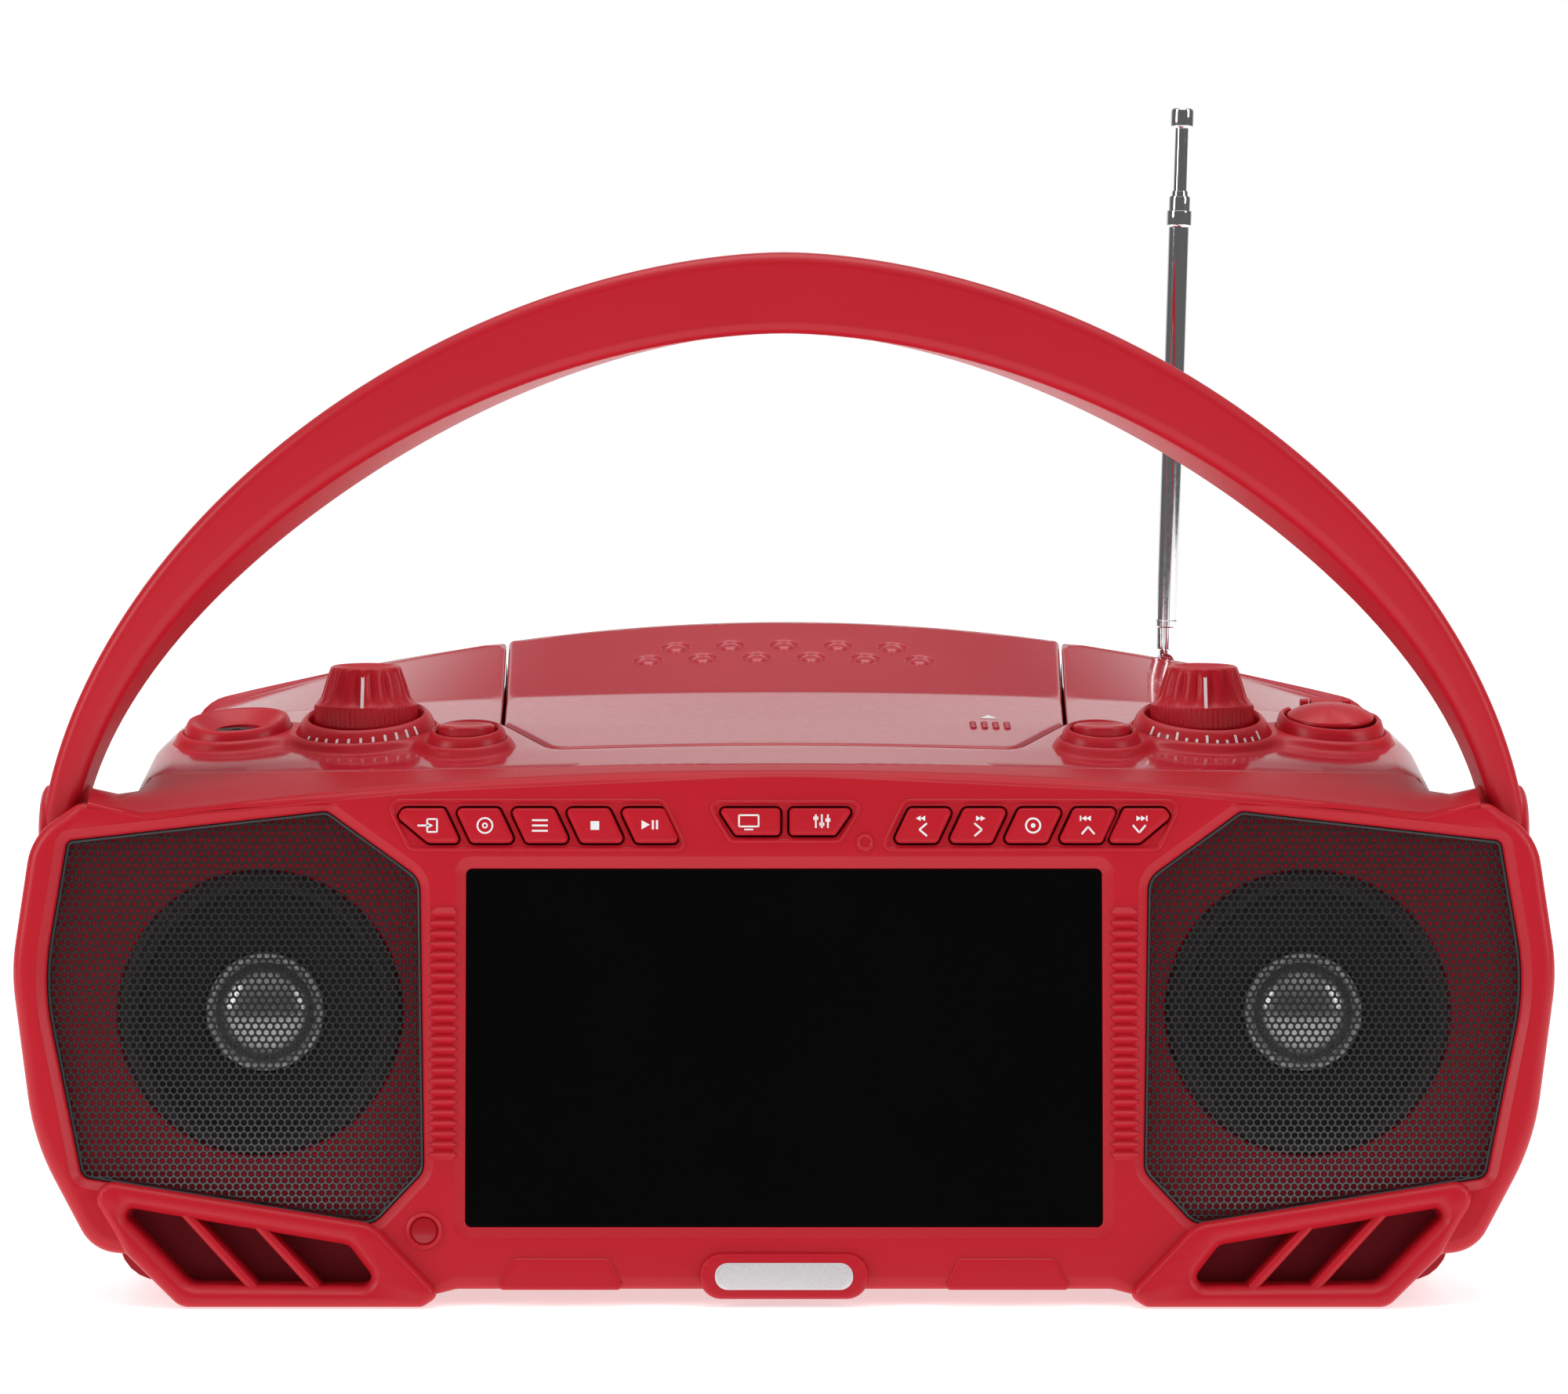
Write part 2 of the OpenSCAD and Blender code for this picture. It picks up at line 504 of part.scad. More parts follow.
front_shell();
rear_shell();
top_deck();
lid();
lid_hinge_pins();
disc_clamp();
left_island();
right_island();
headphone_jack();
volume_knob();
tuning_knob();
knob_controls();
bass_button();
band_button();
socket_cap();
dc_socket();
front_button(0);  // front_button_1
front_button(1);  // front_button_2
front_button(2);  // front_button_3
front_button(3);  // front_button_4
front_button(4);  // front_button_5
front_button(5);  // front_button_6
front_button(6);  // front_button_7
front_button(7);  // front_button_8
front_button(8);  // front_button_9
front_button(9);  // front_button_10
front_button(10);  // front_button_11
front_button(11);  // front_button_12
button_board();
grille_left();
grille_right();
speaker_left();
speaker_right();
cone_left();
cone_right();
screen_window();
lcd_panel();
receiver_lens();
badge_plate();
vent_foot_left();
vent_foot_right();
rubber_feet();
main_board();
disc_well();
spindle();
spindle_motor();
laser_sled();
sled_rails();
lead_screw();
handle();
handle_pivots();
antenna_base();
antenna_knuckle();
antenna_tube();
antenna_middle();
antenna_rod();
battery_pack();
battery_door();
case_screws();
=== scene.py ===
"""Looks of the portable disc player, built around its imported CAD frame.

Lengths in this file are millimetres in the design's own frame: X to the right, Y counted back from
the plane of the feet, Z up. at() turns them into Blender's metres in the row frame. Shapes on the
leaning front face are given as (x, s, n): s runs up the face and n is the depth behind it.
"""
import math

import bmesh
import bpy
import numpy as np
from mathutils import Matrix, Vector
from mathutils.geometry import delaunay_2d_cdt


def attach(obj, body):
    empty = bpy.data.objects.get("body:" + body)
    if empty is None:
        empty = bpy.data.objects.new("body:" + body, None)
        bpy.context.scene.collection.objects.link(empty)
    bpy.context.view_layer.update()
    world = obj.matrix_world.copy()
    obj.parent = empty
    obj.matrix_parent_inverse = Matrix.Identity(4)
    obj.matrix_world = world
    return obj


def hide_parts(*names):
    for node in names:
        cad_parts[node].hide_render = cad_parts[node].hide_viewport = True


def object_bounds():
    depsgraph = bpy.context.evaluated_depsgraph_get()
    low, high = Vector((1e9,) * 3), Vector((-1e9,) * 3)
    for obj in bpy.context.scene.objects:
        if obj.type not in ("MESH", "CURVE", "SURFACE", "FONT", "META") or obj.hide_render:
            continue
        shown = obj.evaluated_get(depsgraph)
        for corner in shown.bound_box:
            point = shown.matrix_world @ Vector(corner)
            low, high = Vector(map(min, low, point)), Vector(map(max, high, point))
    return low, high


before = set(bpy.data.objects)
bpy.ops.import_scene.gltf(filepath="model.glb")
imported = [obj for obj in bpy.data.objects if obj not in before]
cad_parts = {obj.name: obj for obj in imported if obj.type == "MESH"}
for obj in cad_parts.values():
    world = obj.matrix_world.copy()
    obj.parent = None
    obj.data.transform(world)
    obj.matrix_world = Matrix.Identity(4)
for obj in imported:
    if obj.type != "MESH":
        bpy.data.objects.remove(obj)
CAD_BOX = [list(corner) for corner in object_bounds()]

MM = 0.001
FRONT_Y = -3.0
Y_SHIFT = CAD_BOX[0][1] / MM - FRONT_Y
FACE_Y, FACE_Z = 2.0, 15.0
LEAN = math.radians(8)
LEAN_COS, LEAN_SIN = math.cos(LEAN), math.sin(LEAN)
HALF_W = 163.0
REAR_Y = 192.7
RIDGE_Y, SHELF_Y, CREASE_Y = 173.0, 178.0, 121.0
SCREEN_W, SCREEN_H, SCREEN_Z = 155.6, 87.4, 19.2
SPEAKER_X, SPEAKER_S = 128.4, 71.5
PIVOT_Y, PIVOT_Z = 37.0, 112.0
DISC_Y = 113.0
JACK, KNOB, KEY = (140.0, 78.0), (106.6, 72.0), (79.8, 54.0)
CAP_Y = JACK[1] + 12.6
ISLAND_H = 4.0
ISLAND_TILT = math.radians(9)
ANTENNA = Vector((105.5, 183.0, 142.5))
ANTENNA_LEAN = math.radians(1.4)
TUBE_LEN = 128.0


# ---------------------------------------------------------------- places
def at(x, y, z):
    """A point of the design frame, in Blender's metres."""
    return Vector((x, y + Y_SHIFT, z)) * MM


def on_face(x, s, n=0.0):
    """A point of the leaning front face: s up the face and n behind it."""
    up = s - FACE_Z
    return at(x, FACE_Y + n * LEAN_COS + up * LEAN_SIN, FACE_Z - n * LEAN_SIN + up * LEAN_COS)


def face_s(z):
    """How far up the face the height z lies."""
    return FACE_Z + (z - FACE_Z) / LEAN_COS


FACE_BACK = Vector((0, LEAN_COS, -LEAN_SIN))


# ---------------------------------------------------------------- outlines
class Outline:
    """A closed outline with rounded corners. Grown or shrunk, it keeps its number of points."""

    def __init__(self, corners, arc=6, step=None):
        area = sum(a[0] * b[1] - b[0] * a[1] for a, b in zip(corners, corners[1:] + corners[:1]))
        self.corners = list(corners) if area > 0 else list(reversed(corners))
        self.arc = arc
        n = len(self.corners)
        self.cuts = [1] * n
        if step:
            for i in range(n):
                a, b = self.corners[i], self.corners[(i + 1) % n]
                self.cuts[i] = max(1, math.ceil(math.dist(a[:2], b[:2]) / step))

    def loop(self, grow=0.0):
        """The outline's points, moved outwards by grow."""
        n = len(self.corners)
        pts = [Vector(c[:2]) for c in self.corners]
        dirs = [(pts[(i + 1) % n] - pts[i]).normalized() for i in range(n)]
        moved = []
        for i in range(n):
            n0 = Vector((dirs[i - 1].y, -dirs[i - 1].x))
            n1 = Vector((dirs[i].y, -dirs[i].x))
            moved.append(pts[i] + (n0 + n1) * grow / max(0.2, 1 + n0.dot(n1)))
        arcs = []
        for i in range(n):
            u, v = (moved[i - 1] - moved[i]), (moved[(i + 1) % n] - moved[i])
            reach = 0.48 * min(u.length, v.length)
            u.normalize()
            v.normalize()
            convex = dirs[i - 1].x * dirs[i].y - dirs[i - 1].y * dirs[i].x > 0
            r = max(0.05, self.corners[i][2] + (grow if convex else -grow))
            half = math.acos(max(-1, min(1, u.dot(v)))) / 2
            r = min(r, reach * math.tan(half))
            centre = moved[i] + (u + v).normalized() * r / math.sin(half)
            a = moved[i] + u * r / math.tan(half) - centre
            b = moved[i] + v * r / math.tan(half) - centre
            a0 = math.atan2(a.y, a.x)
            turn = (math.atan2(b.y, b.x) - a0 + math.pi) % (2 * math.pi) - math.pi
            arcs.append([centre + r * Vector((math.cos(a0 + turn * k / self.arc),
                                              math.sin(a0 + turn * k / self.arc)))
                         for k in range(self.arc + 1)])
        out = []
        for i in range(n):
            out += arcs[i]
            end, start = arcs[i][-1], arcs[(i + 1) % n][0]
            out += [end.lerp(start, k / self.cuts[i]) for k in range(1, self.cuts[i])]
        return out

    def mirrored(self):
        """The same outline on the other side of the centre line."""
        return Outline([(-c[0], c[1], c[2]) for c in self.corners], self.arc)


def circle(cx, cy, r, steps=48):
    """Points of a circle, in order."""
    return [Vector((cx + r * math.cos(2 * math.pi * k / steps), cy + r * math.sin(2 * math.pi * k / steps)))
            for k in range(steps)]


def inside(points, loop):
    """Which of the points lie inside a closed loop."""
    points, loop = np.asarray(points, float), np.array([tuple(p) for p in loop])
    ax, ay = loop[:, 0], loop[:, 1]
    bx, by = np.roll(ax, -1), np.roll(ay, -1)
    x, y = points[:, 0:1], points[:, 1:2]
    crosses = (ay > y) != (by > y)
    with np.errstate(divide="ignore", invalid="ignore"):
        hit = x < (bx - ax) * (y - ay) / (by - ay) + ax
    return (crosses & hit).sum(1) % 2 == 1


def shrink(flat, by):
    """A loop moved inwards by a small distance, along its own normals."""
    pts = np.array([tuple(p)[:2] for p in flat])
    ahead, back = np.roll(pts, -1, 0), np.roll(pts, 1, 0)
    t = ahead - back
    t /= np.maximum(np.linalg.norm(t, axis=1, keepdims=True), 1e-9)
    area = np.sum(pts[:, 0] * ahead[:, 1] - ahead[:, 0] * pts[:, 1])
    normal = np.stack([-t[:, 1], t[:, 0]], 1) * (1 if area > 0 else -1)
    return pts + normal * by


def triangulated(flats, tolerance, extra=()):
    """Triangles that fill flats[0] less the other loops, by way of any extra points."""
    coords, edges = [], []
    for flat in flats:
        start, count = len(coords), len(flat)
        coords += [Vector((p[0], p[1])) for p in flat]
        edges += [(start + k, start + (k + 1) % count) for k in range(count)]
    coords += [Vector(p) for p in extra]
    verts, _, faces, origin, *_ = delaunay_2d_cdt(coords, edges, [], 0, tolerance)
    centres = np.array([[sum(verts[i][k] for i in f) / 3 for k in (0, 1)] for f in faces])
    keep = inside(centres, flats[0])
    for hole in flats[1:]:
        keep &= ~inside(centres, hole)
    return verts, [f for f, k in zip(faces, keep) if k], origin


# ---------------------------------------------------------------- mesh building
class Piece:
    """Collects rings of points, bands between them and filled ends, then makes one object."""

    def __init__(self, name):
        self.name = name
        self.verts = []
        self.faces = []

    def ring(self, points):
        """Adds points, and gives back their indices."""
        start = len(self.verts)
        self.verts.extend(points)
        return list(range(start, len(self.verts)))

    def band(self, a, b, closed=True):
        """Joins two rings with faces."""
        last = len(a) if closed else len(a) - 1
        for i in range(last):
            j = (i + 1) % len(a)
            self.faces.append((a[i], a[j], b[j], b[i]))

    def stack(self, rings):
        """Joins each ring to the next, and gives the rings back."""
        for a, b in zip(rings, rings[1:]):
            self.band(a, b)
        return rings

    def wrap(self, outline, profile, place=on_face):
        """A ring of the outline for each (grow, depth) of the profile, with bands between."""
        return self.stack([self.ring([place(q.x, q.y, n) for q in outline.loop(g)]) for g, n in profile])

    def prism(self, ends):
        """Two flat ends, given as points, and the sides between them."""
        self.faces += [tuple(ring) for ring in self.stack([self.ring(end) for end in ends])]

    def fill(self, rings, flats):
        """Fills the space between flat loops; flats holds each ring's points in the plane."""
        index = [i for ring in rings for i in ring]
        _, faces, origin = triangulated(flats, 1e-6)
        self.faces += [tuple(index[origin[i][0]] for i in f) for f in faces if all(origin[i] for i in f)]

    def skin(self, flats, xs, ys, place, margin=0.6):
        """Fills flats[0] less the other loops with a fine mesh that place() lifts onto a surface."""
        grid = np.array([(x, y) for y in ys for x in xs])
        keep = inside(grid, shrink(flats[0], margin))
        for hole in flats[1:]:
            keep &= ~inside(grid, shrink(hole, -margin))
        verts, faces, _ = triangulated(flats, 1e-5, grid[keep])
        start = len(self.verts)
        self.verts += [place(v.x, v.y) for v in verts]
        self.faces += [tuple(start + i for i in f) for f in faces]

    def turned(self, profile, centre, axis=(0, 0, 1), steps=64, radius=None, side=None):
        """Revolves (radius, height) points about an axis through centre, all in millimetres."""
        z = Vector(axis).normalized()
        x = side or Vector((1, 0, 0))
        x = (x - z * x.dot(z)).normalized()
        y = z.cross(x)
        rings = []
        for r, h in profile:
            if r < 1e-6:
                rings.append(self.ring([centre + z * h * MM]))
                continue
            ring = []
            for k in range(steps):
                a = 2 * math.pi * k / steps
                rr = radius(r, h, a) if radius else r
                ring.append(centre + (x * math.cos(a) + y * math.sin(a)) * rr * MM + z * h * MM)
            rings.append(self.ring(ring))
        for a, b in zip(rings, rings[1:]):
            if len(a) == 1 and len(b) > 1:
                self.faces += [(a[0], b[k], b[(k + 1) % len(b)]) for k in range(len(b))]
            elif len(b) == 1 and len(a) > 1:
                self.faces += [(b[0], a[(k + 1) % len(a)], a[k]) for k in range(len(a))]
            elif len(a) > 1:
                self.band(a, b)
        return rings

    def done(self, material, body, replaces=(), slot=None, sharp=32, flip=None, weld=2e-6):
        mesh = bpy.data.meshes.new(self.name)
        bm = bmesh.new()
        made = [bm.verts.new(v) for v in self.verts]
        for face in self.faces:
            if len(set(face)) == len(face):
                try:
                    bm.faces.new([made[i] for i in face])
                except ValueError:
                    pass
        if weld:
            bmesh.ops.remove_doubles(bm, verts=bm.verts, dist=weld)
        bmesh.ops.recalc_face_normals(bm, faces=bm.faces)
        loose = [v for v in bm.verts if not v.link_faces]
        bmesh.ops.delete(bm, geom=loose, context="VERTS")
        if flip and sum((f.normal.dot(flip)) * f.calc_area() for f in bm.faces) < 0:
            bmesh.ops.reverse_faces(bm, faces=bm.faces)
        bm.to_mesh(mesh)
        bm.free()
        mesh.shade_smooth()
        mesh.set_sharp_from_angle(angle=math.radians(sharp))
        obj = bpy.data.objects.new(self.name, mesh)
        bpy.context.scene.collection.objects.link(obj)
        mesh.materials.append(material)
        weighted = obj.modifiers.new("weighted", "WEIGHTED_NORMAL")
        weighted.keep_sharp = True
        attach(obj, body)
        if replaces:
            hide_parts(*replaces)
        return obj


def face_panel(name, outline, profile, material, body, **kw):
    """A raised or sunk panel on the leaning face: profile is (grow, depth) from its edge to its top."""
    p = Piece(name)
    rings = p.wrap(outline, profile)
    p.fill([rings[-1]], [outline.loop(profile[-1][0])])
    return p.done(material, body, **kw)


# ---------------------------------------------------------------- materials
def shader(name):
    m = bpy.data.materials.new(name)
    m.use_nodes = True
    nodes, links = m.node_tree.nodes, m.node_tree.links
    return m, nodes, links, nodes["Principled BSDF"]


def noise(nodes, links, scale, detail=2.0, stretch=None):
    coord = nodes.new("ShaderNodeTexCoord")
    tex = nodes.new("ShaderNodeTexNoise")
    tex.inputs["Scale"].default_value = scale
    tex.inputs["Detail"].default_value = detail
    if stretch:
        mapping = nodes.new("ShaderNodeMapping")
        mapping.inputs["Scale"].default_value = stretch
        links.new(coord.outputs["Object"], mapping.inputs["Vector"])
        links.new(mapping.outputs["Vector"], tex.inputs["Vector"])
    else:
        links.new(coord.outputs["Object"], tex.inputs["Vector"])
    return tex.outputs["Fac"]


def spread(nodes, links, value, low, high):
    node = nodes.new("ShaderNodeMapRange")
    node.inputs["From Min"].default_value = 0.3
    node.inputs["From Max"].default_value = 0.7
    node.inputs["To Min"].default_value = low
    node.inputs["To Max"].default_value = high
    links.new(value, node.inputs["Value"])
    return node.outputs["Result"]


def surface(name, colour, rough, vary=0.06, rough_vary=0.05, grain=2600, bump=0.05, depth=2e-5, metal=0.0,
            coat=0.0, coat_rough=0.03, specular=0.5, blotch=30, stretch=None):
    """A moulded, painted or turned surface: fine grain in bump and roughness, broad colour drift."""
    m, nodes, links, bsdf = shader(name)
    bsdf.inputs["Metallic"].default_value = metal
    bsdf.inputs["Coat Weight"].default_value = coat
    bsdf.inputs["Coat Roughness"].default_value = coat_rough
    bsdf.inputs["Specular IOR Level"].default_value = specular
    mix = nodes.new("ShaderNodeMix")
    mix.data_type = "RGBA"
    mix.inputs["A"].default_value = (*[c * (1 - vary) for c in colour], 1)
    mix.inputs["B"].default_value = (*[min(1, c * (1 + vary)) for c in colour], 1)
    links.new(noise(nodes, links, blotch, 3.0), mix.inputs["Factor"])
    links.new(mix.outputs["Result"], bsdf.inputs["Base Color"])
    fine = noise(nodes, links, grain, 2.0, stretch)
    links.new(spread(nodes, links, fine, max(0.02, rough - rough_vary), rough + rough_vary),
              bsdf.inputs["Roughness"])
    node = nodes.new("ShaderNodeBump")
    node.inputs["Strength"].default_value = bump
    node.inputs["Distance"].default_value = depth
    links.new(fine, node.inputs["Height"])
    links.new(node.outputs["Normal"], bsdf.inputs["Normal"])
    return m


RED = (0.50, 0.0085, 0.020)
MAT = {
    "satin": surface("red_satin", RED, 0.36, grain=2400, bump=0.16, specular=0.3),
    "gloss": surface("red_gloss", (0.47, 0.010, 0.026), 0.16, grain=500, bump=0.03, coat=0.35,
                     coat_rough=0.05,
                     rough_vary=0.03, specular=0.4),
    "case": surface("red_textured", (0.40, 0.0075, 0.018), 0.5, grain=1500, bump=0.45, depth=5e-5,
                    specular=0.35),
    # A darker copy of the red that paints the shade in a recess; it colours the handle's hub caps.
    "shade_red": surface("red_painted_recess_shade", (0.30, 0.006, 0.014), 0.45, grain=2400, bump=0.15, specular=0.3),
    "screen": surface("screen_black", (0.0018, 0.0018, 0.002), 0.12, vary=0.2, grain=300, bump=0.0,
                      rough_vary=0.02, specular=0.08),
    "grille": surface("grille_black", (0.11, 0.11, 0.115), 0.24, grain=5000, bump=0.08, metal=0.9,
                      specular=0.6),
    "cone": surface("cone_paper", (0.022, 0.021, 0.022), 0.72, vary=0.3, grain=1800, bump=0.6, depth=8e-5,
                    specular=0.25, blotch=140),
    "roll": surface("surround_rubber", (0.010, 0.010, 0.011), 0.5, grain=1500, bump=0.2),
    "dust_cap": surface("dust_cap_silver", (0.62, 0.62, 0.63), 0.22, grain=1800, bump=0.10, metal=0.85),
    "chrome": surface("chrome", (0.78, 0.78, 0.80), 0.06, vary=0.02, grain=900, bump=0.01, metal=1.0,
                      rough_vary=0.02),
    "steel": surface("steel", (0.52, 0.52, 0.54), 0.30, grain=1200, bump=0.12, metal=1.0,
                     stretch=(1, 1, 14)),
    # Black plastic for the real black parts; on the grilles' rolled edges the same black paints the shadow
    # along the border.
    "black": surface("black_plastic_and_painted_shadow", (0.014, 0.014, 0.015), 0.42, vary=0.15, grain=2200, bump=0.2),
    "rubber": surface("rubber", (0.018, 0.018, 0.018), 0.78, vary=0.2, grain=1600, bump=0.5, depth=6e-5,
                      specular=0.25),
    "well": surface("duct_shadow", (0.15, 0.003, 0.008), 0.6, grain=2000, bump=0.2, specular=0.15),
    "print": surface("white_print", (0.86, 0.84, 0.85), 0.5, vary=0.03, grain=3000, bump=0.05,
                     specular=0.3),
    "board": surface("solder_mask", (0.010, 0.13, 0.045), 0.34, vary=0.25, grain=900, bump=0.3, blotch=260),
    "wrap": surface("battery_wrap", (0.03, 0.06, 0.22), 0.35, vary=0.1, grain=700, bump=0.1),
    "lens": surface("receiver_red", (0.38, 0.007, 0.015), 0.25, grain=600, bump=0.02, coat=0.2,
                    specular=0.3),
    "silver": surface("badge_silver", (0.72, 0.70, 0.72), 0.3, vary=0.03, grain=2200, bump=0.06,
                      metal=0.25),
}


def dress(node, material):
    """Gives a CAD node that stays visible its material."""
    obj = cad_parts[node]
    if not obj.data.materials:
        obj.data.materials.append(material)
    for i in range(len(obj.data.materials)):
        obj.data.materials[i] = material


# ---------------------------------------------------------------- the top surface
def soft_table(table, blend):
    ys = np.array([row[0] for row in table], float)
    vs = np.array([row[1] for row in table], float)
    offsets = np.linspace(-blend, blend, 9)
    return lambda y: float(np.interp(y + offsets, ys, vs).mean())


CENTRE_Z = soft_table([(0, 127), (18, 129), (27, 130), (50, 132.4), (85, 135.8), (CREASE_Y, 139.5),
                       (RIDGE_Y, 154.3), (176, 152.5), (SHELF_Y, 138.5), (193, 135)], 0.9)
SIDE_DROP = soft_table([(0, 12), (18, 12), (30, 9.5), (50, 6.5), (80, 5), (CREASE_Y, 9),
                        (RIDGE_Y, 28.5), (176, 27), (SHELF_Y, 12.5), (193, 13)], 3.0)
SIDE_R, REAR_R = 9.0, 5.0


def top_z(x, y):
    return CENTRE_Z(y) - SIDE_DROP(y) * (x / 171) ** 2


def fall(distance, r):
    """Drop of a rounded edge, for a point this far past where the rounding starts."""
    d = min(max(distance, 0.0), r)
    return r - math.sqrt(r * r - d * d)


def deck_z(x, y):
    return top_z(x, y) - fall(abs(x) - (HALF_W - SIDE_R), SIDE_R) - fall(y - (REAR_Y - REAR_R), REAR_R)


def on_top(x, y, lift=0.0):
    return at(x, y, top_z(x, y) + lift)


def plane_y(z, n):
    """Depth from the front of the plane n behind the face, at a given height."""
    return FACE_Y + n / LEAN_COS + (z - FACE_Z) * math.tan(LEAN)


# ---------------------------------------------------------------- front shell
def both(points):
    return points + [(-p[0], p[1], p[2]) for p in reversed(points)]


RIGHT_EDGE = [(80, face_s(4.2), 8), (90, face_s(1.8), 4), (146, face_s(1.8), 5), (157.5, face_s(12.3), 4),
              (169, face_s(13.5), 12), (183.5, face_s(40), 60),
              (189.3, face_s(81), 50), (184.6, face_s(114), 16), (172.5, face_s(122), 5),
              (157, face_s(118.6), 4), (84, face_s(125.1), 200)]
SHELL = Outline(RIGHT_EDGE + [(0, face_s(128.9), 300)] + both(RIGHT_EDGE)[len(RIGHT_EDGE):], 8, 12)
GRILLE = Outline([(175.8, face_s(112.6), 2), (112, face_s(119.8), 3), (89.1, face_s(103.4), 6),
                  (87.9, face_s(32.5), 5), (100.5, face_s(19.3), 6), (171.6, face_s(31), 3),
                  (181.5, face_s(78), 60)], 8)
SCREEN_S = face_s(SCREEN_Z)
SCREEN = Outline([(-SCREEN_W / 2, SCREEN_S, 1.5), (SCREEN_W / 2, SCREEN_S, 1.5),
                  (SCREEN_W / 2, SCREEN_S + SCREEN_H, 1.5), (-SCREEN_W / 2, SCREEN_S + SCREEN_H, 1.5)])
FOOT = Outline([(171.5, face_s(31.5), 4), (100, face_s(20.1), 8), (83.5, face_s(3), 6), (88, 0, 3),
                (147, 0, 5), (160, face_s(12.7), 8)], 8)
DUCT = Outline([(159.6, 24.0, 2.5), (106, 15, 3), (98.2, 5, 2.2), (144.7, 5.4, 5), (160.6, 21.8, 2)], 6)
BUTTON_PITCH = 13.43
BUTTON_LOW, BUTTON_MID, BUTTON_HIGH = face_s(111.9), face_s(113.8), face_s(120.4)


def slanted(x, w, skew):
    return [(x + skew, BUTTON_LOW, 1.2), (x + skew + w, BUTTON_LOW, 1.2), (x + w, BUTTON_HIGH, 1.2),
            (x, BUTTON_HIGH, 1.2)]


def button_corners(i):
    """The outer two come to a point, the middle two flare out and the others are parallelograms."""
    if i in (0, 11):
        side = -1 if i == 0 else 1
        return [(side * 79.0, BUTTON_LOW, 1.0), (side * 87.0, BUTTON_LOW, 2.0),
                (side * 94.6, face_s(118.2), 1.2),
                (side * 93.2, BUTTON_HIGH, 1.6), (side * 83.1, BUTTON_HIGH, 1.0)]
    if i < 5:
        return slanted(-94 + BUTTON_PITCH * i, 10.9, 4.1)
    if i == 5:
        return [(-11.9, BUTTON_MID, 1), (-0.9, BUTTON_MID, 1), (-0.9, BUTTON_HIGH, 1),
                (-16.3, BUTTON_HIGH, 1)]
    if i == 6:
        return [(1.3, BUTTON_MID, 1), (12.6, BUTTON_MID, 1), (17.2, BUTTON_HIGH, 1), (1.3, BUTTON_HIGH, 1)]
    return slanted(30.6 + BUTTON_PITCH * (i - 7), 10.9, -4.1)


BUTTONS = [Outline(button_corners(i), 4) for i in range(12)]
PLATE_T = 8.4


def quarter(r, steps):
    """A rounded edge, from the face (-r, 0) round to the side (0, r)."""
    angles = [math.pi / 2 * k / steps for k in range(steps + 1)]
    return [(-r + r * math.sin(a), r - r * math.cos(a)) for a in angles]


def shell_loop(grow, depth):
    """The shell's outline with its rounded edge, which is tighter along the top and behind the feet."""
    out = []
    for rest, moved in zip(SHELL.loop(), SHELL.loop(grow)):
        top = min(1.0, max(0.0, (rest.y - 112) / 6)) * min(1.0, max(0.0, (176 - abs(rest.x)) / 8))
        foot = min(1.0, max(0.0, (13 - rest.y) / 4)) * min(1.0, max(0.0, (abs(rest.x) - 80) / 5))
        share = 1 - 0.68 * max(top, foot)
        out.append((rest.lerp(moved, share), depth * (share if depth < 3.5 else 1)))
    return out


def front_shell():
    """The front moulding, with its openings for the grilles, screen, ducts and buttons."""
    p = Piece("front_shell_skin")
    edge = quarter(3.4, 6) + [(0, 6.6), (-0.4, 7.8), (-1.6, PLATE_T)]
    outer = p.stack([p.ring([on_face(q.x, q.y, n) for q, n in shell_loop(g, n)]) for g, n in edge])
    bevel = [(2.5, 0), (2.2, 0.12), (0.5, 1.5), (0.1, 2.0), (0, 2.8), (0, PLATE_T)]
    slot = [(0.9, 0), (0.6, 0.1), (0.42, 0.4), (0.4, PLATE_T)]
    plain = [(0.6, 0), (0.6, PLATE_T)]
    bezel = [(3.1, 0), (2.7, 0.1), (0.3, 1.25), (0, 1.5), (0, PLATE_T)]
    holes = [(GRILLE, bevel), (GRILLE.mirrored(), bevel), (SCREEN, bezel), (DUCT, plain),
             (DUCT.mirrored(), plain)] + [(b, slot) for b in BUTTONS]
    front, back = ([(outer[k], [q for q, _ in shell_loop(*edge[k])])] for k in (0, -1))
    for outline, profile in holes:
        rings = p.wrap(outline, profile)
        front.append((rings[0], outline.loop(profile[0][0])))
        back.append((rings[-1], outline.loop(profile[-1][0])))
    for side in (front, back):
        p.fill([ring for ring, _ in side], [flat for _, flat in side])
    p.done(MAT["satin"], "case", ["front_shell"], "front_shell")


def front_ring():
    """The wall behind the front plate that carries the rear shell, with the two speaker pods."""
    w, low, high = HALF_W, face_s(6), face_s(110)
    ring = Outline([(-w, low, 10), (w, low, 10), (w, high, 3), (-w, high, 3)], 6)
    p = Piece("front_ring")
    profile = [(0, PLATE_T - 0.5), (0, 15.2), (-0.4, 15.7), (-2.5, 15.7), (-2.5, PLATE_T - 0.5)]
    rings = p.wrap(ring, profile)
    p.band(rings[-1], rings[0])
    p.done(MAT["case"], "case", slot="front_shell")
    for side, name in ((-1, "left"), (1, "right")):
        p = Piece("speaker_pod_" + name)
        p.turned([(41.2, -7.4), (43.5, -7.4), (43.5, -10), (42.6, -11.4), (36.4, -15.4), (34.5, -15.8),
                  (31, -15.8),
                  (31, -14.8), (34.2, -14.6), (41.2, -9.6), (41.2, -7.4)],
                 on_face(side * SPEAKER_X, SPEAKER_S), -FACE_BACK, 72)
        p.done(MAT["case"], "case", slot="front_shell")


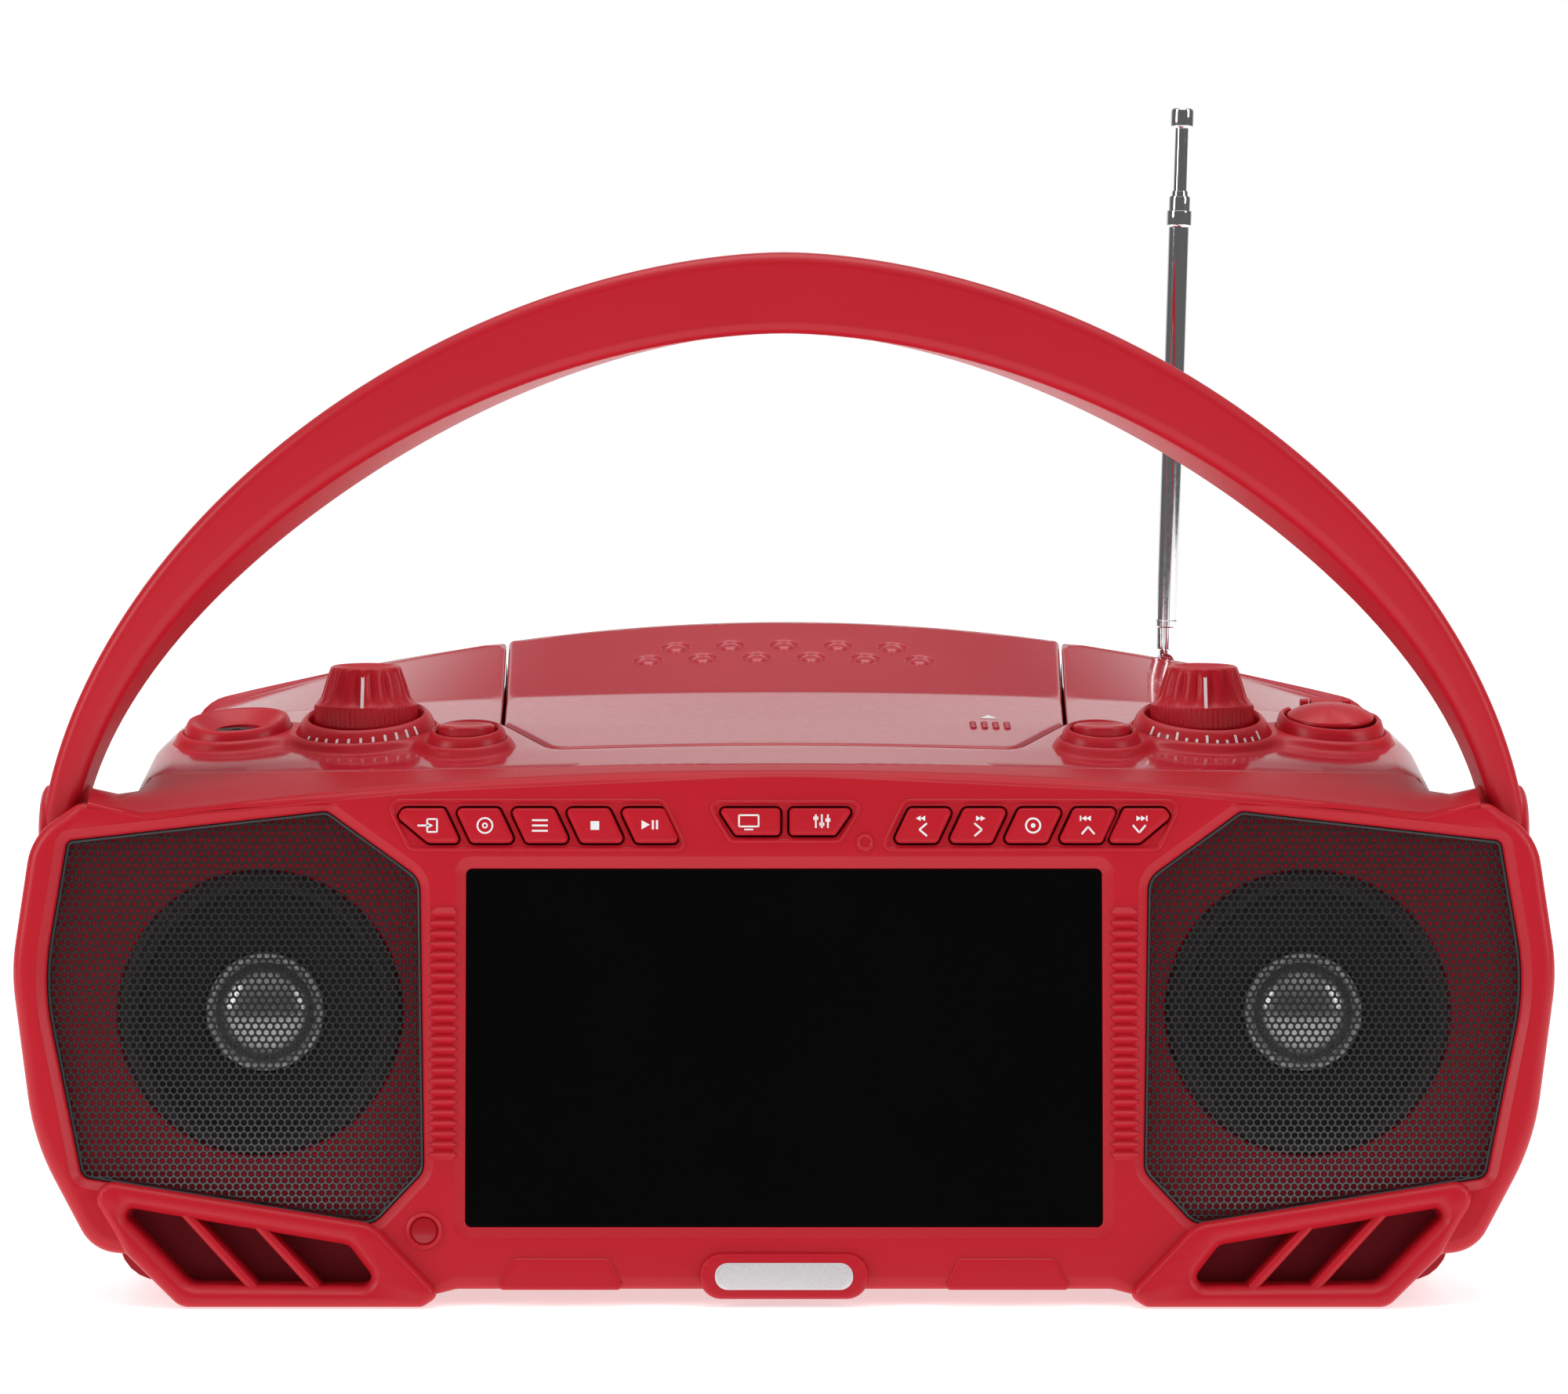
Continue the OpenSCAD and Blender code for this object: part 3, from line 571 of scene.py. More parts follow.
def ribbed_strips():
    """The zigzag ribbed strips between the screen and the grilles."""
    ribs, pitch, low = 24, 2.57, face_s(35.3)
    for side, name in ((-1, "left"), (1, "right")):
        p = Piece("rib_strip_" + name)
        lines = []
        for k in range(2 * ribs + 1):
            s = low + pitch * k / 2
            inner, outer, n = (79.6, 87.0, -1.2) if k % 2 else (80.6, 85.3, -0.05)
            row = [(inner, 0.4), (inner + 0.35, n * 0.8), (inner + 1.2, n), (outer - 1.2, n),
                   (outer - 0.35, n * 0.8), (outer, 0.4)]
            lines.append(p.ring([on_face(side * x, s, depth) for x, depth in row]))
        for a, b in zip(lines, lines[1:]):
            p.band(a, b, closed=False)
        p.done(MAT["satin"], "case", slot="front_shell", sharp=24, flip=-FACE_BACK)


# ---------------------------------------------------------------- speakers
def grille(side, name):
    """Perforated sheet: hexagonal cells, each with a round hole and the hole's wall."""
    pitch, rim, hole, sheet_n, wall_n = 1.81, 0.80, 0.64, 3.3, 3.52
    outline = GRILLE if side > 0 else GRILLE.mirrored()
    xs = np.arange(84, 186, pitch)
    rows = []
    for j, s in enumerate(np.arange(18, 124, pitch * math.sqrt(3) / 2)):
        rows += [(side * (x + pitch / 2 * (j % 2)), s) for x in xs]
    cells = np.array(rows)
    cells = cells[inside(cells, outline.loop(0.5))]
    turns = np.arange(12) * math.pi / 6
    reach = np.where(np.arange(12) % 2 == 0, 1.0, 2 / math.sqrt(3)) * pitch / 2
    hexagon = np.stack([reach * np.cos(turns), reach * np.sin(turns)], 1)
    unit = np.stack([np.cos(turns), np.sin(turns)], 1)
    flat = np.concatenate([hexagon, rim * unit, hole * unit])
    depth = np.repeat([sheet_n, sheet_n, wall_n], 12)
    pts = np.concatenate([np.concatenate([flat + c, depth[:, None]], 1) for c in cells])
    _, first, index = np.unique(np.round(pts / 0.02).astype(int), axis=0, return_index=True,
                                return_inverse=True)
    index = index.reshape(-1)
    pts = pts[first]
    quads = []
    for c in range(len(cells)):
        for k in range(12):
            j = (k + 1) % 12
            a = c * 36
            quads.append((index[a + k], index[a + j], index[a + 12 + j], index[a + 12 + k]))
            quads.append((index[a + 12 + k], index[a + 12 + j], index[a + 24 + j], index[a + 24 + k]))
    p = Piece("grille_sheet_" + name)
    edge = outline.loop()
    cx, cs = sum(q.x for q in edge) / len(edge), sum(q.y for q in edge) / len(edge)
    across, along = (pts[:, 0] - cx) / 46, (pts[:, 1] - cs) / 48
    lift = 2.2 * np.clip(1 - across ** 2, 0, 1) * np.clip(1 - along ** 2, 0, 1)
    p.verts = [on_face(x, s, n - h) for (x, s, n), h in zip(pts, lift)]
    p.faces = quads
    p.done(MAT["grille"], "case", ["grille_" + name], "grille_" + name, flip=-FACE_BACK, weld=0)
    # The sheet's rolled edge round the opening, made black to paint the thin shadow along the grille's
    # border.
    p = Piece("grille_edge_painted_shadow_" + name)
    p.wrap(outline, [(0.2, 4.2), (-0.05, 2.9), (-0.35, 2.75), (-0.8, 3.0), (-0.9, 3.6)])
    p.done(MAT["black"], "case", slot="grille_" + name, flip=-FACE_BACK)


def speaker(side, name):
    """The red baffle, the surround, the paper cone, the dust cap and its ring."""
    centre = on_face(side * SPEAKER_X, SPEAKER_S)
    p = Piece("baffle_" + name)
    outer = (GRILLE if side > 0 else GRILLE.mirrored()).loop(-0.05)
    hole = circle(side * SPEAKER_X, SPEAKER_S, 35.4, 72)
    lip = circle(side * SPEAKER_X, SPEAKER_S, 34.9, 72)
    rings = [p.ring([on_face(q.x, q.y, n) for q in loop]) for loop,
             n in ((outer, 5.2), (hole, 5.2), (lip, 5.7), (lip, 7))]
    p.fill(rings[:2], [outer, hole])
    p.stack(rings[1:])
    p.done(MAT["case"], "case", slot="front_shell", flip=-FACE_BACK)
    out = -FACE_BACK
    bends = [math.pi * k / 8 for k in range(8, -1, -1)]
    roll = [(35.2, -6.9)] + [(32.2 - 2.9 * math.cos(a), -6.6 + 2.6 * math.sin(a))
                             for a in bends] + [(28.6, -7.4)]
    p = Piece("surround_" + name)
    p.turned(roll, centre, out, 72)
    p.done(MAT["roll"], "case", slot="cone_" + name, flip=out)
    cone = [(29.4, -7.0), (26, -8.4), (20, -12.2), (14, -17.4), (12.8, -18.9)]
    p = Piece("paper_cone_" + name)
    p.turned(cone, centre, out, 72, radius=lambda r, h, a: r + 0.12 * math.sin(r * 2.2))
    p.done(MAT["cone"], "case", ["cone_" + name], "cone_" + name, flip=out)
    dome = [(13.9, -18.2), (13.4, -17.0), (12.2, -14.9), (9.8, -12.6), (6.6, -11.1), (3.3, -10.4),
            (0, -10.2)]
    p = Piece("dust_cap_" + name)
    p.turned(dome, centre, out, 56)
    p.done(MAT["dust_cap"], "case", slot="cone_" + name, flip=out)
    p = Piece("dust_ring_" + name)
    p.turned([(14.6, -16.6), (14.3, -15.6), (13.7, -15.3), (13.1, -15.7), (12.9, -16.4)], centre, out, 56)
    p.done(MAT["silver"], "case", slot="cone_" + name, flip=out)
    dress("speaker_" + name, MAT["steel"])


# ---------------------------------------------------------------- screen, lens, badge
def screen():
    """The black window over the display."""
    face_panel("screen_glass", SCREEN, [(-0.1, 3.2), (-0.1, 1.45), (-0.35, 1.22), (-0.8, 1.2)],
               MAT["screen"], "case",
               replaces=["screen_window"], slot="screen_window")


def receiver():
    """The remote control receiver's round lens."""
    lens_x, lens_s = -87.7, face_s(18.4)
    p = Piece("receiver_lens_dome")
    p.turned([(3.3, -3), (3.3, 0.1), (3.0, 0.35), (1.6, 0.5), (0, 0.55)], on_face(lens_x, lens_s),
             -FACE_BACK, 40)
    p.done(MAT["lens"], "case", ["receiver_lens"], "receiver_lens")
    p = Piece("receiver_ring")
    p.turned([(4.5, -0.3), (4.4, 0.55), (4.0, 0.8), (3.6, 0.65), (3.35, 0.2), (3.35, -0.5)],
             on_face(lens_x, lens_s), -FACE_BACK, 48)
    p.done(MAT["satin"], "case", slot="front_shell")
    p = Piece("indicator_ring")
    p.turned([(2.3, -0.3), (2.2, 0.35), (1.75, 0.45), (1.3, 0.2), (1.05, -0.6), (0.6, -0.75), (0, -0.75)],
             on_face(19.8, face_s(112.2)), -FACE_BACK, 36)
    p.done(MAT["satin"], "case", slot="front_shell")


def pill(half, low, high, r, arc=8):
    """A bar with rounded corners, half wide to each side of the centre line."""
    return Outline([(-half, low, r), (half, low, r), (half, high, r), (-half, high, r)], arc)


def badge():
    """The blank badge plate, and the pads beside it on the lower edge."""
    face_panel("badge_pill", pill(20.6, 1.9, 13.0, 5.4), [(0, 0.5), (0, -0.7), (-0.3, -1.3), (-0.9, -1.6)],
               MAT["satin"], "case", slot="front_shell")
    face_panel("badge_blank", pill(16.8, 4.2, 10.7, 3.2), [(0, -1.3), (0, -1.75), (-0.35, -1.95)],
               MAT["silver"],
               "case", replaces=["badge_plate"], slot="badge_plate")
    for side, name in ((-1, "left"), (1, "right")):
        outline = Outline([(side * 70, face_s(4.2), 1), (side * 39, face_s(4.2), 1),
                           (side * 42.5, face_s(11.8), 2),
                           (side * 66, face_s(11.8), 2)], 5)
        face_panel("toe_pad_" + name, outline, [(0, 0.3), (0, -0.25), (-0.35, -0.6), (-0.9, -0.7)],
                   MAT["satin"],
                   "case", slot="front_shell")


# ---------------------------------------------------------------- front buttons
def button_middle(i):
    corners = button_corners(i)
    xs, heights = ([c[k] for c in corners] for k in (0, 1))
    return (min(xs) + max(xs)) / 2, (min(heights) + max(heights)) / 2


def bar(x0, s0, x1, s1, w):
    """A bar between two points, w wide."""
    a, b = Vector((x0, s0)), Vector((x1, s1))
    side = (b - a).normalized().orthogonal() * w / 2
    return [tuple(a - side), tuple(b - side), tuple(b + side), tuple(a + side)]


def triangle(x, s, w, way):
    """A triangle that points to the left or the right."""
    return [(x - way * w / 2, s - w * 0.55), (x + way * w / 2, s), (x - way * w / 2, s + w * 0.55)]


def box2(x, s, w, h):
    """A rectangle round a centre."""
    return [(x - w / 2, s - h / 2), (x + w / 2, s - h / 2), (x + w / 2, s + h / 2), (x - w / 2, s + h / 2)]


def ring2(x, s, r, w, a0=0.0, a1=360.0, steps=20):
    """Short bars along an arc, drawn as one strip."""
    out = []
    for k in range(steps):
        a, b = (math.radians(a0 + (a1 - a0) * t / steps) for t in (k, k + 1))
        out.append([(x + (r + e) * math.cos(t), s + (r + e) * math.sin(t)) for t, e in
                    ((a, -w / 2), (b, -w / 2), (b, w / 2), (a, w / 2))])
    return out


def chevron(x, s, w, turn):
    """An open arrowhead: 0 points left, 1 up, 2 right and 3 down."""
    a = math.radians(180 - 90 * turn)
    tip = Vector((x + w / 2 * math.cos(a), s + w / 2 * math.sin(a)))
    back = Vector((-math.cos(a), -math.sin(a))) * w
    across = Vector((-math.sin(a), math.cos(a))) * w * 0.85
    return [bar(*tip, *(tip + back + across * k), 0.5) for k in (-1, 1)]


def frame2(x, s, w, h, t):
    """Four bars along a rectangle's edges."""
    return [box2(x, s + h / 2, w, t), box2(x, s - h / 2, w, t), box2(x - w / 2, s, t, h),
            box2(x + w / 2, s, t, h)]


ICONS = {
    0: frame2(0.9, 0, 2.6, 3.4, 0.45) + [bar(-3.0, 0, 0.2, 0, 0.5), triangle(0.5, 0, 1.3, 1)],
    1: ring2(0, 0, 2.0, 0.45) + ring2(0, 0, 0.6, 0.4, steps=10),
    2: [box2(0, 1.4, 4.2, 0.5), box2(0, 0, 4.2, 0.5), box2(0, -1.4, 4.2, 0.5)],
    3: [box2(0, 0, 2.3, 2.3)],
    4: [triangle(-1.1, 0.2, 2.2, 1), box2(0.8, 0.2, 0.55, 2.4), box2(1.9, 0.2, 0.55, 2.4)],
    5: frame2(0, 0.2, 5.2, 3.0, 0.45) + [box2(0, -2.1, 2.4, 0.4)],
    6: [box2(x, 0.1, 0.45, 3.6) for x in (-1.6, 0, 1.6)] + [box2(x, y, 1.3, 0.9) for x,
                                                            y in ((-1.6, 0.9), (0, -0.7), (1.6, 0.4))],
    7: [triangle(-1.3, 1.9, 1.3, -1), triangle(-0.1, 1.9, 1.3, -1)] + chevron(0, -1.1, 2.0, 0),
    8: [triangle(0.1, 1.9, 1.3, 1), triangle(1.3, 1.9, 1.3, 1)] + chevron(0, -1.1, 2.0, 2),
    9: ring2(0, 0, 1.9, 0.5) + ring2(0, 0, 0.35, 0.6, steps=8),
    10: [box2(-2.0, 1.9, 0.4, 1.4), triangle(-1.1, 1.9, 1.3, -1),
         triangle(0.1, 1.9, 1.3, -1)] + chevron(0, -1.3, 2.0, 1),
    11: [triangle(-0.1, 1.9, 1.3, 1), triangle(1.1, 1.9, 1.3, 1),
         box2(2.0, 1.9, 0.4, 1.4)] + chevron(0, -0.9, 2.0, 3),
}


def printed(name, shapes, x, s, n, body, scale=1.0, slot="front_shell"):
    """Thin printed marks on the face, each shape a closed outline."""
    p = Piece(name)
    for shape in shapes:
        flat = [(x + a * scale, s + b * scale) for a, b in shape]
        top = p.ring([on_face(a, b, n) for a, b in flat])
        foot = p.ring([on_face(a, b, n + 0.12) for a, b in flat])
        p.band(top, foot)
        p.fill([top], [flat])
    p.done(MAT["print"], body, slot=slot, flip=-FACE_BACK, weld=0)


def front_buttons():
    """The twelve front buttons and their icons."""
    profile = [(0, 6), (0, -0.7), (-0.15, -1.15), (-0.5, -1.5), (-1.1, -1.62)]
    for i, outline in enumerate(BUTTONS):
        node, body = f"front_button_{i + 1}", f"button_{i + 1}"
        face_panel(node + "_cap", outline, profile, MAT["satin"], body, replaces=[node], slot=node)
        x, s = button_middle(i)
        printed(node + "_icon", ICONS[i], x, s, -1.66, body, 0.92, node)
    dress("button_board", MAT["board"])
    high, low = BUTTON_HIGH + 1.9, BUTTON_LOW - 1.5
    mid_high, mid_low = BUTTON_HIGH + 1.5, BUTTON_MID - 1.4
    left = [(-97.4, high, 2.2), (-91.6, low, 2), (-23.8, low, 1.5), (-29.6, high, 2)]
    middle = [(-18.8, mid_high, 1.6), (-13.1, mid_low, 1.4), (13.6, mid_low, 1.4), (19.6, mid_high, 1.6)]
    groups = {"left": left, "right": [(-x, s, r) for x, s, r in left], "middle": middle}
    rim = [(0.5, 0.2), (0.4, -0.15), (0.1, -0.4), (-0.3, -0.4), (-0.6, -0.15), (-0.7, 0.2)]
    for name, corners in groups.items():
        p = Piece("button_rim_" + name)
        outline = Outline(corners, 6, 8)
        rings = p.wrap(outline, rim)
        p.band(rings[-1], rings[0])
        p.done(MAT["satin"], "case", slot="front_shell")


# ---------------------------------------------------------------- vent feet
def vent_foot(side, name):
    """A moulded foot with a duct and slanted vanes."""
    outer = FOOT if side > 0 else FOOT.mirrored()
    duct = DUCT if side > 0 else DUCT.mirrored()
    p = Piece("vent_foot_body_" + name)
    skirt = [(0, 0.6), (0, -0.8), (-0.3, -1.9), (-0.9, -2.7), (-1.7, -3.05)]
    inner = [(2.4, -3.05), (1.7, -2.75), (0.35, -1.3), (0, -0.4), (-0.1, 2), (-0.5, 7.6)]
    rings = p.wrap(outer, skirt)
    holes = p.wrap(duct, inner)
    p.fill([rings[-1], holes[0]], [outer.loop(skirt[-1][0]), duct.loop(inner[0][0])])
    node = "vent_foot_" + name
    p.done(MAT["satin"], "case", [node], node, flip=-FACE_BACK)
    p = Piece("vent_well_" + name)
    p.fill([p.ring([on_face(q.x, q.y, 7.5) for q in duct.loop()])], [duct.loop()])
    p.done(MAT["well"], "case", slot=node, flip=-FACE_BACK)
    for k, (x0, s0, x1, s1) in enumerate(((147.4, 24.4, 128.6, 4.0), (129.5, 21.4, 113.4, 4.0))):
        blade = Outline([(*c, 0.9) for c in bar(side * x0, s0, side * x1, s1, 2.4)], 4)
        face_panel(f"vent_vane_{name}_{k}", blade, [(0.3, 7.6), (0, -0.6), (-0.25, -1.2), (-0.8, -1.5)],
                   MAT["satin"],
                   "case", slot=node)


def table_foot(side, name):
    p = Piece("rubber_foot_" + name)
    p.turned([(7.6, 4.6), (8.4, 3.9), (9.0, 3.2), (9.0, 0.9), (8.6, 0.25), (7.6, 0), (3.4, 0),
              (3.0, 0.5), (2.4, 0.6), (0, 0.6)],
             at(side * 125, 165, 0), steps=56)
    p.done(MAT["rubber"], "case", ["rubber_feet"] if side > 0 else (), "rubber_feet")


# ---------------------------------------------------------------- top: brow, deck, lid
def seam_y(x):
    return 27 + 17 * (x / 150) ** 2


def ramp(t):
    t = min(1.0, max(0.0, t))
    return t * t * (3 - 2 * t)


def brow_r(x):
    return 3.6 - 2.5 * ramp((abs(x) - 95) / 45)


def brow_top(x, y):
    """Top of the front shell: it rises again towards the wings, and meets the deck at the seam."""
    wing = top_z(min(abs(x), 157), y) + max(0, abs(x) - 157) * 0.22
    return wing + (deck_z(min(abs(x), 162.5), y) - wing) * ramp((y - 24) / (seam_y(x) - 24))


def brow_front(x):
    """Depth at which the top's rounded front edge meets the face."""
    return plane_y(brow_top(x, 18) - brow_r(x), 0) + 0.05


BROW_EDGE = 170.5
LID_RIGHT = [(76, RIDGE_Y + 1.5, 2), (72.5, 85, 8), (58, 50, 6)]
LID = Outline(LID_RIGHT + [(0, 52, 300)] + both(LID_RIGHT)[3:], 8, 5)
LID_GAP = 0.35
CHANNEL_Y = RIDGE_Y + 5.2
LID_HOLE = Outline([(76, CHANNEL_Y, 2)] + LID_RIGHT[1:] + [(0, 52, 300)] + both(LID_RIGHT)[3:5]
                   + [(-76, CHANNEL_Y, 2)], 8, 5)
EDGE_XS = [154, 156, 158, 159.6, 161, 162, 162.6]
GRID_X = np.concatenate([-np.array(EDGE_XS[::-1]), np.arange(-150, 151, 4.0), np.array(EDGE_XS)])
GRID_Y = np.concatenate([np.arange(16, 30, 1.2), np.arange(30, 118, 4.0), np.arange(118, 125, 1.5),
                         np.arange(127, 169, 5.0),
                         np.arange(170, 180, 0.7), np.arange(181, 187, 1.6), np.arange(187.4, 192.6, 0.8)])


def lifted(loop, z_of, drop=0.0):
    return [at(q[0], q[1], z_of(q[0], q[1]) - drop) for q in loop]


def brow():
    """The strip of the front shell that curls over onto the top, as far as the seam."""
    xs = np.linspace(-BROW_EDGE, BROW_EDGE, 110)
    steps = 14
    p = Piece("front_shell_brow")

    def back(x):
        past = ramp((abs(x) - 160) / 4)
        return (seam_y(x) - 0.3) * (1 - past) + 28 * past

    lines = []
    for k in range(steps + 1):
        t = k / steps
        row = []
        for x in xs:
            y0, y1, r = brow_front(x), back(x), brow_r(x)
            y = y0 + (y1 - y0) * t ** 1.6
            row.append(at(x, y, brow_top(x, y) - fall(r - (y - y0), r)))
        lines.append(p.ring(row))
    for drop in (0.3, 2.5):
        lines.append(p.ring([at(x, back(x) + 0.2, brow_top(x, back(x)) - drop) for x in xs]))
    for a, b in zip(lines, lines[1:]):
        p.band(a, b, closed=False)
    for column in (0, -1):
        ends = [line[column] for line in lines]
        down = p.ring([p.verts[i] + Vector((0.3 if column else -0.3, 0, -3)) * MM for i in ends])
        p.band(ends, down, closed=False)
    p.done(MAT["satin"], "case", slot="front_shell", flip=Vector((0, 0, 1)))


def deck_outline():
    front = [Vector((x, seam_y(x) + 0.3)) for x in np.linspace(-HALF_W + 0.4, HALF_W - 0.4, 90)]
    corner = 14
    out = list(front)
    edge = HALF_W - 0.4
    back = REAR_Y - 0.4
    out += [Vector((edge, y)) for y in np.arange(seam_y(edge) + 5, back - corner, 5)]
    for sx, a0 in ((1, 0), (-1, 90)):
        out += [Vector((sx * (edge - corner) + corner * math.cos(math.radians(a0 + a)),
                        back - corner + corner * math.sin(math.radians(a0 + a))))
                for a in np.arange(0, 91, 9)]
        if sx > 0:
            out += [Vector((x, back)) for x in np.arange(edge - corner - 6, -edge + corner + 1, -6)]
    out += [Vector((-edge, y)) for y in np.arange(back - corner - 4, seam_y(edge) + 3, -5)]
    return out


def top_deck():
    """The glossy top, with the lid's opening in it."""
    p = Piece("top_deck_skin")
    outline = deck_outline()
    holes = [LID_HOLE.loop(1.5)]
    rounds = [(JACK, 12.0), (KNOB, 14.0), (KEY, 8.6)]
    for side in (-1, 1):
        holes += [circle(side * c[0], c[1], r, 40) for c, r in rounds]
    holes.append(circle(ANTENNA.x, ANTENNA.y, 5.2, 32))
    p.skin([outline] + holes, GRID_X, GRID_Y, lambda x, y: at(x, y, deck_z(x, y)), 0.8)
    start = p.ring(lifted(outline, deck_z))
    low = p.ring([v - Vector((0, 0, 0.35 * MM)) for v in lifted(shrink(outline, -0.3), deck_z)])
    under = p.ring([v - Vector((0, 0, 5.0 * MM)) for v in lifted(shrink(outline, -0.3), deck_z)])
    p.stack([start, low, under])
    lip = [(1.5, 0), (0.95, 0.1), (0.6, 0.4), (LID_GAP + 0.05, 1.0), (LID_GAP, 1.8), (LID_GAP, 5.0)]
    p.stack([p.ring(lifted(LID_HOLE.loop(g), deck_z, d)) for g, d in lip])
    p.done(MAT["gloss"], "case", ["top_deck"], "top_deck", flip=Vector((0, 0, 1)), sharp=50)


DIMPLES = [(-29.3 + 14.65 * k, 155.0) for k in range(5)] + [(-36.6 + 14.64 * k, 146.0) for k in range(6)]
GRIP_DOTS = [(48.5 + 2.9 * i, 75.5 + 2.9 * j) for i in range(4) for j in range(3)]


def lid():
    """The disc lid with its dimples, grip dots, collar and hinge barrels."""
    p = Piece("lid_skin")
    edge = [(-1.7, 0), (-1.2, 0.08), (-0.75, 0.35), (-0.42, 0.9), (-LID_GAP, 1.7), (-LID_GAP, 2.6)]
    outline = LID.loop(edge[0][0])
    holes = [circle(x, y, 4.2, 28) for x, y in DIMPLES]
    grid_x = np.arange(-75, 76, 4.0)
    p.skin([outline] + holes, grid_x, GRID_Y, lambda x, y: on_top(x, y), 0.8)
    p.stack([p.ring(lifted(LID.loop(g), top_z, d)) for g, d in edge])
    dish = [(4.2, 0), (3.95, -0.12), (3.65, -0.5), (3.3, -0.85), (2.7, -0.9), (2.35, -0.6),
            (2.05, -0.15), (1.5, 0.12), (0.8, 0.2)]
    dot = [(0.95, -0.1), (0.85, 0.3), (0.5, 0.55)]
    for spots, steps, profile in ((DIMPLES, 28, dish), (GRIP_DOTS, 10, dot)):
        for x, y in spots:
            rings = p.stack([p.ring([on_top(q.x, q.y, h) for q in circle(x, y, r, steps)]) for r,
                             h in profile])
            p.faces.append(tuple(rings[-1]))
    p.done(MAT["gloss"], "lid", ["lid"], "lid", flip=Vector((0, 0, 1)), sharp=50)
    p = Piece("lid_open_mark")
    mark = [(50.6, 88.0), (55.2, 88.0), (52.9, 92.6)]
    rings = [p.ring([on_top(x, y, h) for x, y in mark]) for h in (0.12, -0.1)]
    p.band(*rings)
    p.faces.append(tuple(rings[0]))
    p.done(MAT["print"], "lid", slot="lid", flip=Vector((0, 0, 1)), weld=0)
    p = Piece("lid_lining")
    inner = LID.loop(-LID_GAP - 0.05)
    p.skin([inner], grid_x, GRID_Y, lambda x, y: on_top(x, y, -2.6), 0.8)
    p.done(MAT["black"], "lid", slot="lid", flip=Vector((0, 0, -1)), sharp=50)
    p = Piece("lid_collar")
    p.turned([(15, 9.5), (15, 1.2), (15.4, 0.4), (16.4, 0), (17, 0.6), (17.3, 3.6), (17.8, 5.6)],
             at(0, DISC_Y, 125.6), steps=56)
    p.done(MAT["black"], "lid", slot="lid")
    for side, name in ((-1, "left"), (1, "right")):
        p = Piece("lid_hinge_barrel_" + name)
        p.turned([(1.25, 0), (2.2, 0), (2.4, 0.25), (2.4, 8.15), (2.2, 8.4), (1.25, 8.4)],
                 at(24.3 if side > 0 else -32.7, RIDGE_Y, 147.5),
                 (1, 0, 0), 28, side=Vector((0, 0, 1)))
        web = [(RIDGE_Y - 2.2, 147.6), (RIDGE_Y + 1.3, 147.6), (RIDGE_Y + 1.1, 151.4),
               (RIDGE_Y - 2.6, 151.2)]
        x0, x1 = sorted((side * 24.5, side * 32.5))
        p.prism([[at(x, y, z) for y, z in web] for x in (x0, x1)])
        p.done(MAT["black"], "lid", slot="lid")


# ---------------------------------------------------------------- control islands
ISLAND_ROUNDS = [(JACK, 15.0), (KNOB, 18.5), (KEY, 10.8)]


def island_distance(p):
    """Signed distance to the three discs, blended where they meet."""
    d = None
    for centre, r in ISLAND_ROUNDS:
        e = math.dist(p, centre) - r
        if d is None:
            d = e
        else:
            h = max(0.0, 9.0 - abs(d - e)) / 9.0
            d = min(d, e) - h * h * 9.0 / 4
    return d


def island_slope(p, e=0.02):
    g = Vector((island_distance((p[0] + e, p[1])) - island_distance((p[0] - e, p[1])),
                island_distance((p[0], p[1] + e)) - island_distance((p[0], p[1] - e))))
    return g.normalized()


def island_outline(step=1.4):
    p = Vector((KNOB[0], KNOB[1] + 30))
    path = []
    for _ in range(8):
        p -= island_slope(p) * island_distance(p)
    start = p.copy()
    while len(path) < 400:
        path.append(p.copy())
        g = island_slope(p)
        p = p + Vector((-g.y, g.x)) * step
        for _ in range(3):
            p -= island_slope(p) * island_distance(p)
        if len(path) > 10 and (p - start).length < step * 0.75:
            break
    return path


def moved_to(path, distance):
    out = []
    for p in path:
        q = p.copy()
        for _ in range(6):
            q += island_slope(q) * (distance - island_distance(q))
        out.append(q)
    return out


ISLAND_PATH = island_outline()
BOWLS = {
    "jack": (JACK, [(14.0, 2.3), (13.8, 2.05), (13.6, 2.6), (13.3, 3.8), (12.7, 4.9), (12.0, 5.2),
                    (11.3, 4.95), (9.8, 3.9),
                    (8.0, 2.8), (6.6, 2.15), (5.9, 2.0), (5.9, 0.5)]),
    "cap": (JACK, [(14.2, 2.3), (14.0, 2.05), (13.8, 2.6), (13.5, 4.0), (13.1, 5.2), (12.5, 5.7),
                   (11.9, 5.4),
                   (11.7, 4.2), (11.6, 0.4), (5.9, 0.2), (5.9, -2)]),
    "knob": (KNOB, [(17.9, 2.3), (17.7, 2.05), (17.5, 2.6), (17.1, 3.7), (16.4, 4.9), (15.6, 5.7),
                    (15.0, 5.85), (14.6, 5.5),
                    (14.4, 4.6), (14.2, 2.6), (14.0, -1.6, 1), (6.0, -1.6, 1), (3.1, -1.6, 1)]),
    "key": (KEY, [(10.3, 2.3), (10.1, 2.05), (9.9, 2.7), (9.6, 3.8), (9.0, 4.8), (8.4, 5.0), (7.9, 4.6),
                  (7.6, 3.6), (7.5, -1)]),
}


def tilted(side, centre, q, h, level=False):
    """A point of a bowl: the bowls lean forwards a little more than the top does, but not their floors."""
    if level:
        return at(side * q[0], q[1], top_z(*centre) + ISLAND_H + h)
    lean = math.tan(ISLAND_TILT) - (CENTRE_Z(centre[1] + 5) - CENTRE_Z(centre[1] - 5)) / 10
    rise = (q[1] - centre[1]) * lean
    return at(side * q[0], q[1], top_z(q[0], q[1]) + h + rise)


